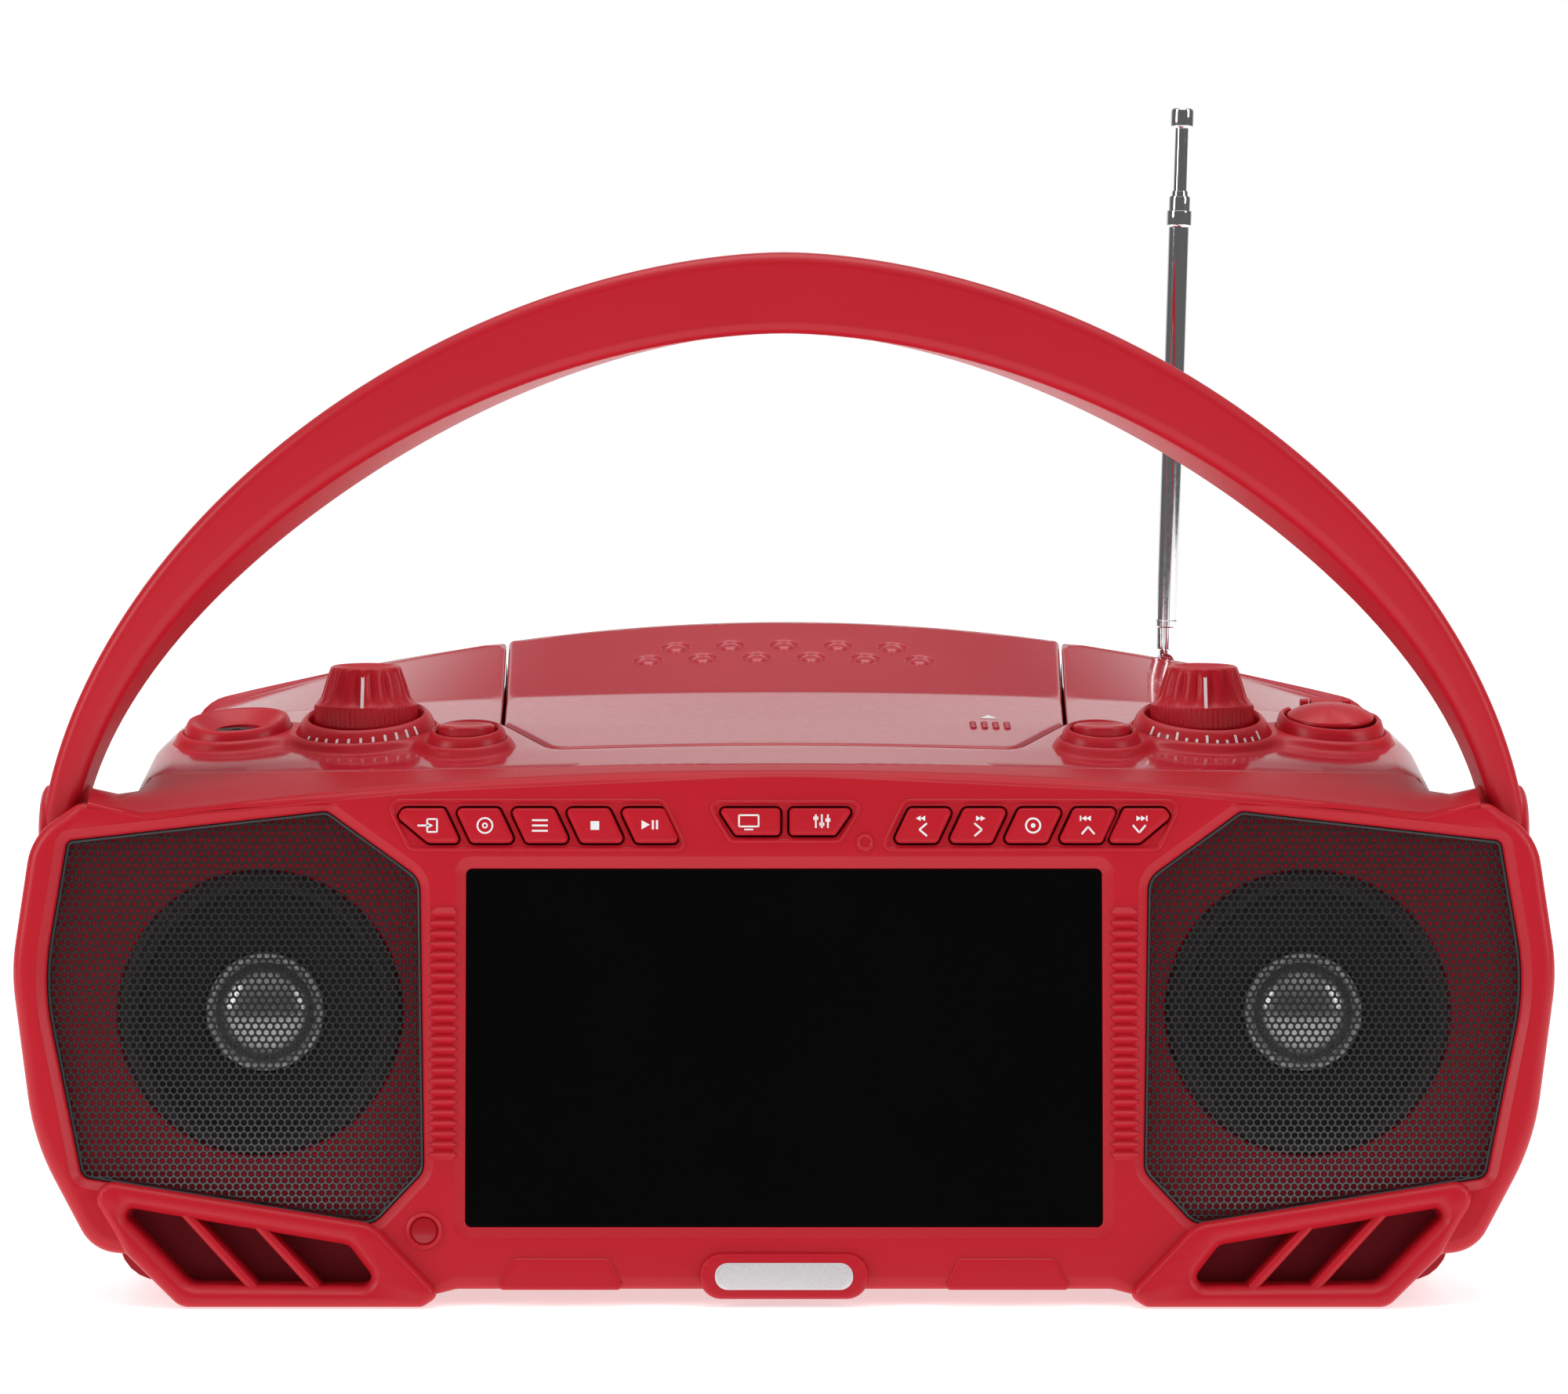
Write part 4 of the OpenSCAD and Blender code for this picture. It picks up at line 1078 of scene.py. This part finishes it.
def hinge_notch(side, q, h):
    """The cap's bowl has a gap in its rim at the back, where the cap's hinge sits."""
    if side < 0 or q[1] < JACK[1] + 5 or h < 2.4 or abs(q[0] - JACK[0]) > 9.5:
        return h
    return h + (2.2 - h) * ramp((9.5 - abs(q[0] - JACK[0])) / 1.6)


def island(side, name):
    """A raised control plate with its bowls."""
    p = Piece("island_" + name)
    wall = [(2.4, -0.5), (1.6, 0.0), (1.1, 0.6), (0.75, 1.3), (0.3, 1.95), (-0.3, 2.25), (-0.6, 2.3)]
    loops = [moved_to(ISLAND_PATH, d) for d, _ in wall]
    rings = [p.ring([at(side * q.x, q.y, deck_z(q.x, q.y) + h) for q in loop]) for loop,
             (_, h) in zip(loops, wall)]
    p.stack(rings)
    bowls = [BOWLS["cap" if side > 0 else "jack"], BOWLS["knob"], BOWLS["key"]]
    holes = [circle(*centre, profile[0][0] + 0.1, 56) for centre, profile in bowls]
    xs, ys = np.arange(64, 158, 2.2), np.arange(38, 98, 2.2)
    p.skin([loops[-1]] + holes, xs, ys, lambda x, y: at(side * x, y, deck_z(x, y) + 2.3), 0.5)
    for (centre, profile), hole in zip(bowls, holes):
        rings = [p.ring([at(side * q.x, q.y, deck_z(q.x, q.y) + 2.3) for q in hole])]
        for r, h, *level in profile:
            spots = circle(*centre, r, 56)
            if centre is JACK:
                rings.append(p.ring([tilted(side, centre, q, hinge_notch(side, q, h)) for q in spots]))
            else:
                rings.append(p.ring([tilted(side, centre, q, h, bool(level)) for q in spots]))
        p.stack(rings)
    p.done(MAT["satin"], "case", [name + "_island"], name + "_island", flip=Vector((0, 0, 1)), sharp=44)


def knob(side, node, body):
    """Knurled skirt, a waist of tapered flutes and a dished top, about the shaft's axis."""
    base = top_z(*KNOB) + ISLAND_H
    centre = at(side * KNOB[0], KNOB[1], base)
    profile = [(9, -1.2), (12.8, -1.2), (13.2, -0.8), (13.2, 1.7), (13.2, 4.0), (12.9, 4.5),
               (12.5, 4.8), (12.2, 5.3), (11.5, 6.2),
               (10.9, 8), (10.3, 10), (9.6, 12), (9.2, 13.2), (8.9, 13.9), (8.3, 14.25), (7.6, 14.2),
               (7.0, 13.9), (5.5, 13.4), (3, 13.1), (0, 13.0)]

    def shaped(r, h, a):
        if -1.0 <= h <= 4.1:
            return r - 0.16 + 0.16 * math.cos(60 * a)
        if 5.2 <= h <= 13.5:
            weight = math.sin(math.pi * (h - 4.8) / 9.2)
            leaf = abs(math.cos(8 * a)) ** 0.7
            return r - 1.15 * max(0.0, weight) * (1 - leaf)
        return r

    p = Piece(node + "_body")
    p.turned(profile, centre, steps=240, radius=shaped)
    p.done(MAT["satin"], body, [node], node, sharp=40)
    p = Piece(node + "_pointer")
    y0, y1, slope = -12.9, -9.4, 2.1
    line = [(-0.4, y0), (0.4, y0), (0.4, y1), (-0.4, y1)]
    p.prism([[centre + Vector((x, y, h + (y - y0) * slope)) * MM for x, y in line] for h in (5.05, 3.6)])
    p.done(MAT["print"], body, slot=node, weld=0)


def dial_marks():
    """A rising scale round the volume knob and an even one round the tuning knob, on the rims' fronts."""
    for side, name, count in ((-1, "left", 11), (1, "right", 13)):
        p = Piece("dial_marks_" + name)
        for k in range(count):
            a = math.radians(-38 - 104 * k / (count - 1))
            tall = 0.35 + 0.65 * k / (count - 1) if side < 0 else (1.0 if k % 3 == 0 else 0.5)
            u, v = Vector((math.cos(a), math.sin(a))), Vector((-math.sin(a), math.cos(a)))
            front = []
            for t, w in ((0, -0.32), (0, 0.32), (tall, 0.32), (tall, -0.32)):
                r, h = 17.62 - 1.1 * t, 3.0 + 1.9 * t
                front.append((Vector(KNOB) + u * r + v * w, h))
            rings = [p.ring([tilted(side, KNOB, q - u * sink, h) for q, h in front]) for sink in (0, 0.35)]
            p.band(*rings)
            p.faces.append(tuple(rings[0]))
        p.done(MAT["print"], "case", slot=name + "_island", weld=0)


def round_key(side, node, body):
    """A round push button."""
    base = top_z(*KEY) + ISLAND_H
    p = Piece(node + "_cap")
    p.turned([(6.2, -6.5), (7.1, -6.5), (7.1, 1.0), (6.95, 1.6), (6.4, 2.0), (5.6, 2.0), (4.6, 1.75),
              (2.4, 1.55), (0, 1.5)],
             at(side * KEY[0], KEY[1], base), steps=56)
    p.done(MAT["satin"], body, [node], node)


def flip_cap():
    """The hinged cover over the power socket, with its finger tab and hinge."""
    base = top_z(*JACK) + ISLAND_H
    centre = at(JACK[0], JACK[1], base)
    p = Piece("socket_cap_dome")
    hinge = at(JACK[0] - 4, CAP_Y, base + 3.2)
    nod = Matrix.Rotation(math.radians(7), 3, "X")

    def scooped(r, h, a):
        front = max(0.0, math.cos(a + math.pi / 2)) ** 30
        return r - (1.8 * front if 4 < r < 10.5 and h > 3 else 0)

    p.turned([(0, 1.9), (9.8, 1.9), (10.9, 2.2), (11.1, 2.8), (10.9, 3.4), (10.2, 3.9), (8.4, 4.8),
              (5.6, 5.6), (2.8, 6.0), (0, 6.1)],
             centre, steps=96, radius=scooped)
    p.verts = [hinge + nod @ (v - hinge) for v in p.verts]
    p.done(MAT["satin"], "cap", ["socket_cap"], "socket_cap")
    p = Piece("socket_cap_barrel")
    p.turned([(0.85, 0), (1.6, 0), (1.8, 0.2), (1.8, 7.8), (1.6, 8), (0.85, 8)], hinge, (1, 0, 0), 28,
             side=Vector((0, 0, 1)))
    web = [(-4.6, 2.2), (0.6, 1.7), (0.6, 4.4), (-4.6, 4.2)]
    p.prism([[at(JACK[0] + x, CAP_Y + y, base + z) for y, z in web] for x in (-3.8, 3.8)])
    p.done(MAT["satin"], "cap", slot="socket_cap")
    p = Piece("power_socket_body")
    p.turned([(5.9, -17), (5.9, -3.2), (5.5, -2.8), (3.3, -2.8), (2.8, -3.2), (2.8, -15), (0.9, -15),
              (0.9, -5), (0.6, -4.6), (0, -4.6)],
             centre, steps=48)
    p.done(MAT["black"], "case", ["dc_socket"], "dc_socket")
    for side, name in ((-1, "left"), (1, "right")):
        p = Piece("cap_hinge_post_" + name)
        x0, x1 = sorted((side * 4.4, side * 6.5))
        outline = [(-1.5, -2.0), (1.5, -2.0), (1.5, 3.3), (1.1, 4.3), (0, 4.8), (-1.1, 4.3), (-1.5, 3.3)]
        p.prism([[at(JACK[0] + x, CAP_Y + y, base + z) for y, z in outline] for x in (x0, x1)])
        p.done(MAT["satin"], "case", slot="dc_socket")


def headphone_socket():
    """The headphone socket, in its bowl."""
    base = top_z(*JACK) + ISLAND_H
    p = Piece("headphone_socket_body")
    p.turned([(5.9, -17), (5.9, -2.3), (5.6, -1.95), (4.2, -1.85), (3.9, -2.1), (3.0, -2.3),
              (2.5, -1.9), (1.9, -1.9), (1.8, -2.1), (1.8, -16), (0, -16)],
             at(-JACK[0], JACK[1], base), steps=48)
    p.done(MAT["black"], "case", ["headphone_jack"], "headphone_jack")


# ---------------------------------------------------------------- rear shell
DOOR = pill(45, 22, 72, 3, 6)
REAR_VENTS = [Outline([(x, 88, 1.2), (x + 2.4, 88, 1.2), (x + 2.4, 112, 1.2), (x, 112, 1.2)], 4)
              for side in (-1, 1) for x in [side * (66 + 6.0 * k) for k in range(11)]]
SHELL_SEAM = 16


def on_rear(x, z, n):
    """A point of the back wall, n in front of its surface."""
    return at(x, REAR_Y - n, z)


def rear_shell():
    """Side walls, rounded rear corners, the back wall with its openings, and the underside."""
    corner, fillet, base = 14.0, 8.0, 4.0
    straight = REAR_Y - corner
    bends = [math.pi / 2 * k / 6 for k in range(7)]
    rows = [(fillet * (1 - math.sin(a)), base + fillet * (1 - math.cos(a))) for a in bends]

    def above(top):
        rise = top - 1.0 - base - fillet
        return [(0, base + fillet + rise * k / 10) for k in range(1, 11)] + [(0.5, top - 0.6)]

    p = Piece("rear_shell_skin")
    half = []
    for t in np.linspace(0, 1, 14):
        seam = plane_y(100, SHELL_SEAM)
        top = deck_z(HALF_W - 0.1, seam + (straight - seam) * t)
        column = []
        for inset, z in rows + above(top):
            start = plane_y(z, SHELL_SEAM)
            y = start + (straight - start) * t
            if z > top - 1.1:
                z = deck_z(HALF_W - 0.1, y) - (0.6 if inset else 1.0)
            column.append(at(HALF_W - inset, y, z))
        half.append(column)
    for a in np.linspace(math.pi / 18, math.pi / 2, 9):
        out = Vector((math.cos(a), math.sin(a)))
        x, y = HALF_W - corner + corner * out.x, straight + corner * out.y
        top = deck_z(x * 0.999, y - 0.1)
        half.append([at(x - out.x * inset, y - out.y * inset, z) for inset, z in rows + above(top)])
    right = [p.ring(column) for column in half]
    left = [p.ring([Vector((-v.x, v.y, v.z)) for v in column]) for column in half]
    for columns in (right, left):
        for a, b in zip(columns, columns[1:]):
            p.band(a, b, closed=False)
    low, high = len(rows), -2
    last = right[-1]
    belly, wall_top, upper = [last[:low]], [last[high]], [last[-1]]
    for x in np.linspace(HALF_W - corner, -HALF_W + corner, 49)[1:-1]:
        top = deck_z(x, REAR_Y - 0.1)
        belly.append(p.ring([on_rear(x, z, inset) for inset, z in rows]))
        wall_top += p.ring([on_rear(x, top - 1.0, 0)])
        upper += p.ring([on_rear(x, top - 0.6, 0.5)])
    last = left[-1]
    belly.append(last[:low])
    wall_top.append(last[high])
    upper.append(last[-1])
    for a, b in zip(belly, belly[1:]):
        p.band(a, b, closed=False)
    p.band(wall_top, upper, closed=False)
    boundary = [column[-1]
                for column in belly] + left[-1][low:high] + wall_top[::-1] + right[-1][low:high][::-1]
    rings, flats = [boundary], [[(p.verts[i].x / MM, p.verts[i].z / MM) for i in boundary]]
    for outline, depth in [(DOOR, 4.0)] + [(v, 2.6) for v in REAR_VENTS]:
        lip = p.wrap(outline, [(0.8, 0), (0.45, 0.12), (0.25, 0.5), (0.2, depth)], on_rear)
        rings.append(lip[0])
        flats.append(outline.loop(0.8))
        if outline is DOOR:
            p.fill([lip[-1]], [outline.loop(0.2)])
    p.fill(rings, flats)
    floor_ring = [c[0] for c in right] + [b[0] for b in belly[1:-1]] + [c[0] for c in reversed(left)]
    p.fill([floor_ring], [[(p.verts[i].x, p.verts[i].y) for i in floor_ring]])
    p.done(MAT["case"], "case", ["rear_shell"], "rear_shell", sharp=36)
    p = Piece("vent_backing")
    for side in (-1, 1):
        corners = [(side * 62, 84), (side * 132, 84), (side * 132, 122), (side * 62, 122)]
        p.faces.append(tuple(p.ring([on_rear(x, z, 2.7) for x, z in corners])))
    p.done(MAT["black"], "case", slot="rear_shell", flip=Vector((0, 1, 0)))


def battery_door():
    """The door in the back wall, with its grip ridges and latch."""
    p = Piece("battery_door_panel")
    edge = [(-0.5, 3.3), (-0.5, 0.9), (-0.7, 0.45), (-1.2, 0.3)]
    panel = p.wrap(DOOR, edge, on_rear)
    rings, flats = [panel[-1]], [DOOR.loop(edge[-1][0])]
    for z in [33 + 3.0 * k for k in range(5)]:
        grip = pill(14, z - 0.8, z + 0.8, 0.7, 4)
        ridge = p.wrap(grip, [(0, 0.3), (-0.1, -0.05), (-0.35, -0.25)], on_rear)
        p.fill([ridge[-1]], [grip.loop(-0.35)])
        rings.append(ridge[0])
        flats.append(grip.loop())
    p.fill(rings, flats)
    p.fill([panel[0]], [DOOR.loop(edge[0][0])])
    p.done(MAT["case"], "battery_door", ["battery_door"], "battery_door")
    p = Piece("battery_door_latch")
    latch = pill(9, 66.5, 70.8, 1.5, 5)
    rings = p.wrap(latch, [(0, 0.6), (0, -0.3), (-0.3, -0.8), (-0.8, -0.9)], on_rear)
    p.fill([rings[-1]], [latch.loop(-0.8)])
    p.done(MAT["case"], "battery_door", slot="battery_door")


def screws():
    """Four cross-head screws in the back wall."""
    def cross(r, h, a):
        return r * (0.72 + 0.28 * abs(math.cos(2 * a))) if h < 0.1 and r < 2 else r

    for k, (side, z) in enumerate(((-1, 14), (-1, 100), (1, 14), (1, 100))):
        p = Piece(f"case_screw_{k}")
        p.turned([(3.0, -1), (3.0, 0.2), (2.8, 0.5), (2.3, 0.75), (1.7, 0.8), (1.5, 0.05), (0.9, -0.5),
                  (0, -0.6)],
                 at(side * 150, REAR_Y, z), (0, 1, 0), 40, radius=cross)
        p.done(MAT["steel"], "case", ["case_screws"] if k == 0 else (), "case_screws")


# ---------------------------------------------------------------- handle
def handle():
    """A tapering bow between two superellipses, on round hubs that turn on bosses of the case."""
    outer, inner, spring, power = (184.0, 150.8), (176.0, 131.0), 105.0, 2 / 1.8
    depth, draft, count, first = 24.0, 5.0, 120, 0.035

    def arc(axes, t):
        c, s = math.cos(t), math.sin(t)
        return Vector((math.copysign(axes[0] * abs(c) ** power, c), spring + axes[1] * abs(s) ** power))

    p = Piece("handle_bow")
    rings = []
    for k in range(count + 1):
        t = first + (math.pi - 2 * first) * k / count
        o, i = arc(outer, t), arc(inner, t)
        lean = draft * math.sin(2 * min(t, math.pi - t)) ** 2
        width = (o - i).length
        toward = (o - i).normalized()
        section = Outline([(0.0, 0.0, 3.0), (width, 0.0, 3.2), (width, depth, 3.2), (0.0, depth, 3.0)], 5)
        ring = []
        for u, v in section.loop():
            q = i + toward * (u - lean * (1 - u / width) * (v / depth))
            ring.append(at(q.x, PIVOT_Y - depth / 2 + v, q.y))
        rings.append(p.ring(ring))
    p.stack(rings)
    p.faces += [tuple(rings[0]), tuple(rings[-1])]
    p.done(MAT["satin"], "handle", ["handle"], "handle", sharp=40)
    for side, name in ((-1, "left"), (1, "right")):
        p = Piece("handle_hub_" + name)
        hub = [(4.1, 172.0), (10.8, 172.0), (11.7, 172.4), (12.0, 173.2), (12.0, 182.3), (11.6, 183.3),
               (10.6, 183.9), (8.2, 184.0),
               (7.8, 183.6), (7.6, 183.0), (0, 183.0)]
        p.turned(hub, at(0, PIVOT_Y, PIVOT_Z), (side, 0, 0), 64, side=Vector((0, 0, 1)))
        p.done(MAT["satin"], "handle", slot="handle")
        # The cap sits in the hub's recess; its darker red is painted shade.
        p = Piece("handle_hub_cap_" + name)
        p.turned([(7.3, 182.8), (7.3, 183.5), (6.9, 183.9), (6.0, 184.05), (2.0, 184.15), (0, 184.15)],
                 at(0, PIVOT_Y, PIVOT_Z),
                 (side, 0, 0), 48, side=Vector((0, 0, 1)))
        p.done(MAT["shade_red"], "handle", slot="handle")
        p = Piece("handle_boss_" + name)
        p.turned([(9.6, HALF_W - 1), (9.4, HALF_W + 1.2), (8.2, HALF_W + 2.0), (7.2, HALF_W + 2.4),
                  (7.0, 171.6), (6.4, 171.8), (0, 171.8)],
                 at(0, PIVOT_Y, PIVOT_Z), (side, 0, 0), 56, side=Vector((0, 0, 1)))
        p.done(MAT["case"], "case", slot="handle_pivots")


# ---------------------------------------------------------------- antenna
def antenna():
    """The antenna's base, knuckle and three telescoping sections."""
    up = Vector((math.sin(ANTENNA_LEAN), 0, math.cos(ANTENNA_LEAN)))
    pivot = at(*ANTENNA)
    end = TUBE_LEN
    sleeve = [(2.4, 3.2), (2.75, 3.4), (2.75, 9.4), (2.95, 9.7), (2.95, 11.2), (2.75, 11.5),
              (2.75, end - 8.4),
              (3.3, end - 8.1), (3.4, end - 7.6), (3.4, end - 4.3), (3.3, end - 4.0), (2.9, end - 3.8),
              (2.9, end - 0.5), (2.7, end), (2.35, end), (2.35, 8)]
    second = [(0, 10), (2.3, 10), (2.3, end), (2.2, end + 0.4), (2.2, end + 1.1), (2.05, end + 1.5),
              (1.85, end + 1.5), (1.85, 12)]
    third = [(0, 30), (1.8, 30), (1.8, end + 18.6), (2.6, end + 18.7), (3.0, end + 19.0), (3.1, end + 19.5),
             (3.1, end + 23.0), (2.95, end + 23.6), (2.4, end + 24.0), (1.0, end + 24.1), (0.9, end + 23.8),
             (0, end + 23.8)]
    parts = [("antenna_sleeve", "antenna_tube", "antenna_tube", sleeve),
             ("antenna_second", "antenna_middle", "antenna_middle", second),
             ("antenna_third", "antenna_rod", "antenna_rod", third)]
    for name, node, body, profile in parts:
        p = Piece(name)
        p.turned(profile, pivot, up, 40)
        p.done(MAT["chrome"], body, [node], node)
    p = Piece("antenna_eye")
    p.turned([(0.95, -1.4), (2.0, -1.4), (2.2, -1.15), (2.2, 1.15), (2.0, 1.4), (0.95, 1.4)], pivot,
             (0, 1, 0), 32)
    p.turned([(1.9, 0.8), (1.9, 3.6)], pivot, up, 24)
    p.done(MAT["chrome"], "antenna_tube", slot="antenna_tube")
    p = Piece("antenna_collar")
    p.turned([(8.6, -3.9), (8.4, -3.0), (7.6, -2.4), (6.4, -2.1), (5.6, -1.9), (5.2, -1.3), (5.0, -0.4),
              (4.7, -0.05), (2.3, 0)],
             at(ANTENNA.x, ANTENNA.y, 136.5), steps=48)
    p.done(MAT["chrome"], "case", ["antenna_base"], "antenna_base")
    dress("antenna_knuckle", MAT["chrome"])


# ---------------------------------------------------------------- inside
def inside_parts():
    """The parts inside the case, and the details that show with the lid open."""
    looks = {"disc_well": "black", "spindle": "steel", "spindle_motor": "steel", "laser_sled": "black",
             "sled_rails": "steel",
             "lead_screw": "steel", "main_board": "board", "knob_controls": "steel",
             "handle_pivots": "steel",
             "battery_pack": "wrap", "lid_hinge_pins": "steel", "disc_clamp": "black",
             "lcd_panel": "screen"}
    for node, key in looks.items():
        dress(node, MAT[key])
    p = Piece("disc_tray_rings")
    for r in (24.0, 41.0, 58.5):
        p.turned([(r, 0), (r + 0.3, 0.35), (r + 0.9, 0.45), (r + 1.5, 0.35), (r + 1.8, 0)],
                 at(0, DISC_Y, 113.95), steps=96)
    p.done(MAT["black"], "case", slot="disc_well", flip=Vector((0, 0, 1)))
    p = Piece("lens_eye")
    p.turned([(3.5, 0), (3.3, 0.5), (2.7, 0.8), (2.4, 0.5), (1.6, 0.9), (0, 1.1)],
             at(27, DISC_Y, 116.1), steps=36)
    p.done(MAT["screen"], "sled", slot="laser_sled")


# ---------------------------------------------------------------- build
front_shell()
front_ring()
ribbed_strips()
screen()
receiver()
badge()
front_buttons()
for which, word in ((-1, "left"), (1, "right")):
    grille(which, word)
    speaker(which, word)
    vent_foot(which, word)
    table_foot(which, word)
    island(which, word)
brow()
top_deck()
lid()
knob(-1, "volume_knob", "volume")
knob(1, "tuning_knob", "tuning")
dial_marks()
round_key(-1, "bass_button", "bass")
round_key(1, "band_button", "band")
flip_cap()
headphone_socket()
rear_shell()
battery_door()
screws()
handle()
antenna()
inside_parts()


# ---------------------------------------------------------------- stage
def floor():
    """A wide pale floor."""
    mesh = bpy.data.meshes.new("floor")
    mesh.from_pydata([(-2.2, -2.0, 0), (2.2, -2.0, 0), (2.2, 2.4, 0), (-2.2, 2.4, 0)], [], [(0, 1, 2, 3)])
    obj = bpy.data.objects.new("floor", mesh)
    bpy.context.scene.collection.objects.link(obj)
    m, _, _, bsdf = shader("floor_white")
    bsdf.inputs["Base Color"].default_value = (0.9, 0.9, 0.9, 1)
    bsdf.inputs["Roughness"].default_value = 0.8
    bsdf.inputs["Specular IOR Level"].default_value = 0.1
    bsdf.inputs["Emission Color"].default_value = (1, 1, 1, 1)
    bsdf.inputs["Emission Strength"].default_value = 0.56
    mesh.materials.append(m)


def softbox(name, place, target, size, power):
    """A rectangular area light that faces its target."""
    light = bpy.data.lights.new(name, "AREA")
    light.shape = "RECTANGLE"
    light.size, light.size_y = size
    light.energy = power
    obj = bpy.data.objects.new(name, light)
    obj.location = place
    obj.rotation_euler = (Vector(target) - Vector(place)).to_track_quat("-Z", "Y").to_euler()
    bpy.context.scene.collection.objects.link(obj)


def lighting():
    """White backdrop. The light itself comes from above and from low behind the object."""
    world = bpy.data.worlds.new("studio")
    world.use_nodes = True
    nodes, links = world.node_tree.nodes, world.node_tree.links
    coord = nodes.new("ShaderNodeTexCoord")
    split = nodes.new("ShaderNodeSeparateXYZ")
    links.new(coord.outputs["Generated"], split.inputs["Vector"])

    def smooth(value, low, high, start, stop):
        """A smooth step of a value, from start to stop."""
        node = nodes.new("ShaderNodeMapRange")
        node.interpolation_type = "SMOOTHSTEP"
        for key, number in (("From Min", low), ("From Max", high), ("To Min", start), ("To Max", stop)):
            node.inputs[key].default_value = number
        links.new(value, node.inputs["Value"])
        return node.outputs["Result"]

    glow = nodes.new("ShaderNodeMath")
    glow.operation = "MULTIPLY_ADD"
    links.new(smooth(split.outputs["Y"], 0.5, 0.9, 0.0, 1.0), glow.inputs[0])
    links.new(smooth(split.outputs["Z"], 0.52, 0.3, 0.0, 0.62), glow.inputs[1])
    links.new(smooth(split.outputs["Z"], 0.4, 0.97, 0.13, 0.85), glow.inputs[2])
    seen = nodes.new("ShaderNodeLightPath")
    pick = nodes.new("ShaderNodeMix")
    links.new(seen.outputs["Is Camera Ray"], pick.inputs["Factor"])
    links.new(glow.outputs["Value"], pick.inputs["A"])
    pick.inputs["B"].default_value = 1.0
    background = nodes["Background"]
    background.inputs["Color"].default_value = (1, 1, 1, 1)
    links.new(pick.outputs["Result"], background.inputs["Strength"])
    bpy.context.scene.world = world
    bpy.context.scene.view_settings.view_transform = "Standard"
    softbox("top", (0, 0.1, 1.7), (0, 0, 0.1), (1.5, 1.1), 11)
    softbox("left", (-1.7, -0.8, 0.9), (0, 0, 0.12), (0.6, 1.2), 13)
    softbox("right", (1.7, -0.8, 0.9), (0, 0, 0.12), (0.6, 1.2), 10)


def camera():
    """The camera for the front view."""
    pitch, distance = math.radians(5.23), 1241 * MM
    aim = at(0, 13.5, 148)
    cam = bpy.data.cameras.new("camera")
    cam.lens, cam.sensor_width = 117, 36
    cam.clip_start = 0.05
    obj = bpy.data.objects.new("camera", cam)
    obj.location = aim + Vector((0, -math.cos(pitch), math.sin(pitch))) * distance
    obj.rotation_euler = (math.pi / 2 - pitch, 0, 0)
    bpy.context.scene.collection.objects.link(obj)
    bpy.context.scene.camera = obj


floor()
lighting()
camera()
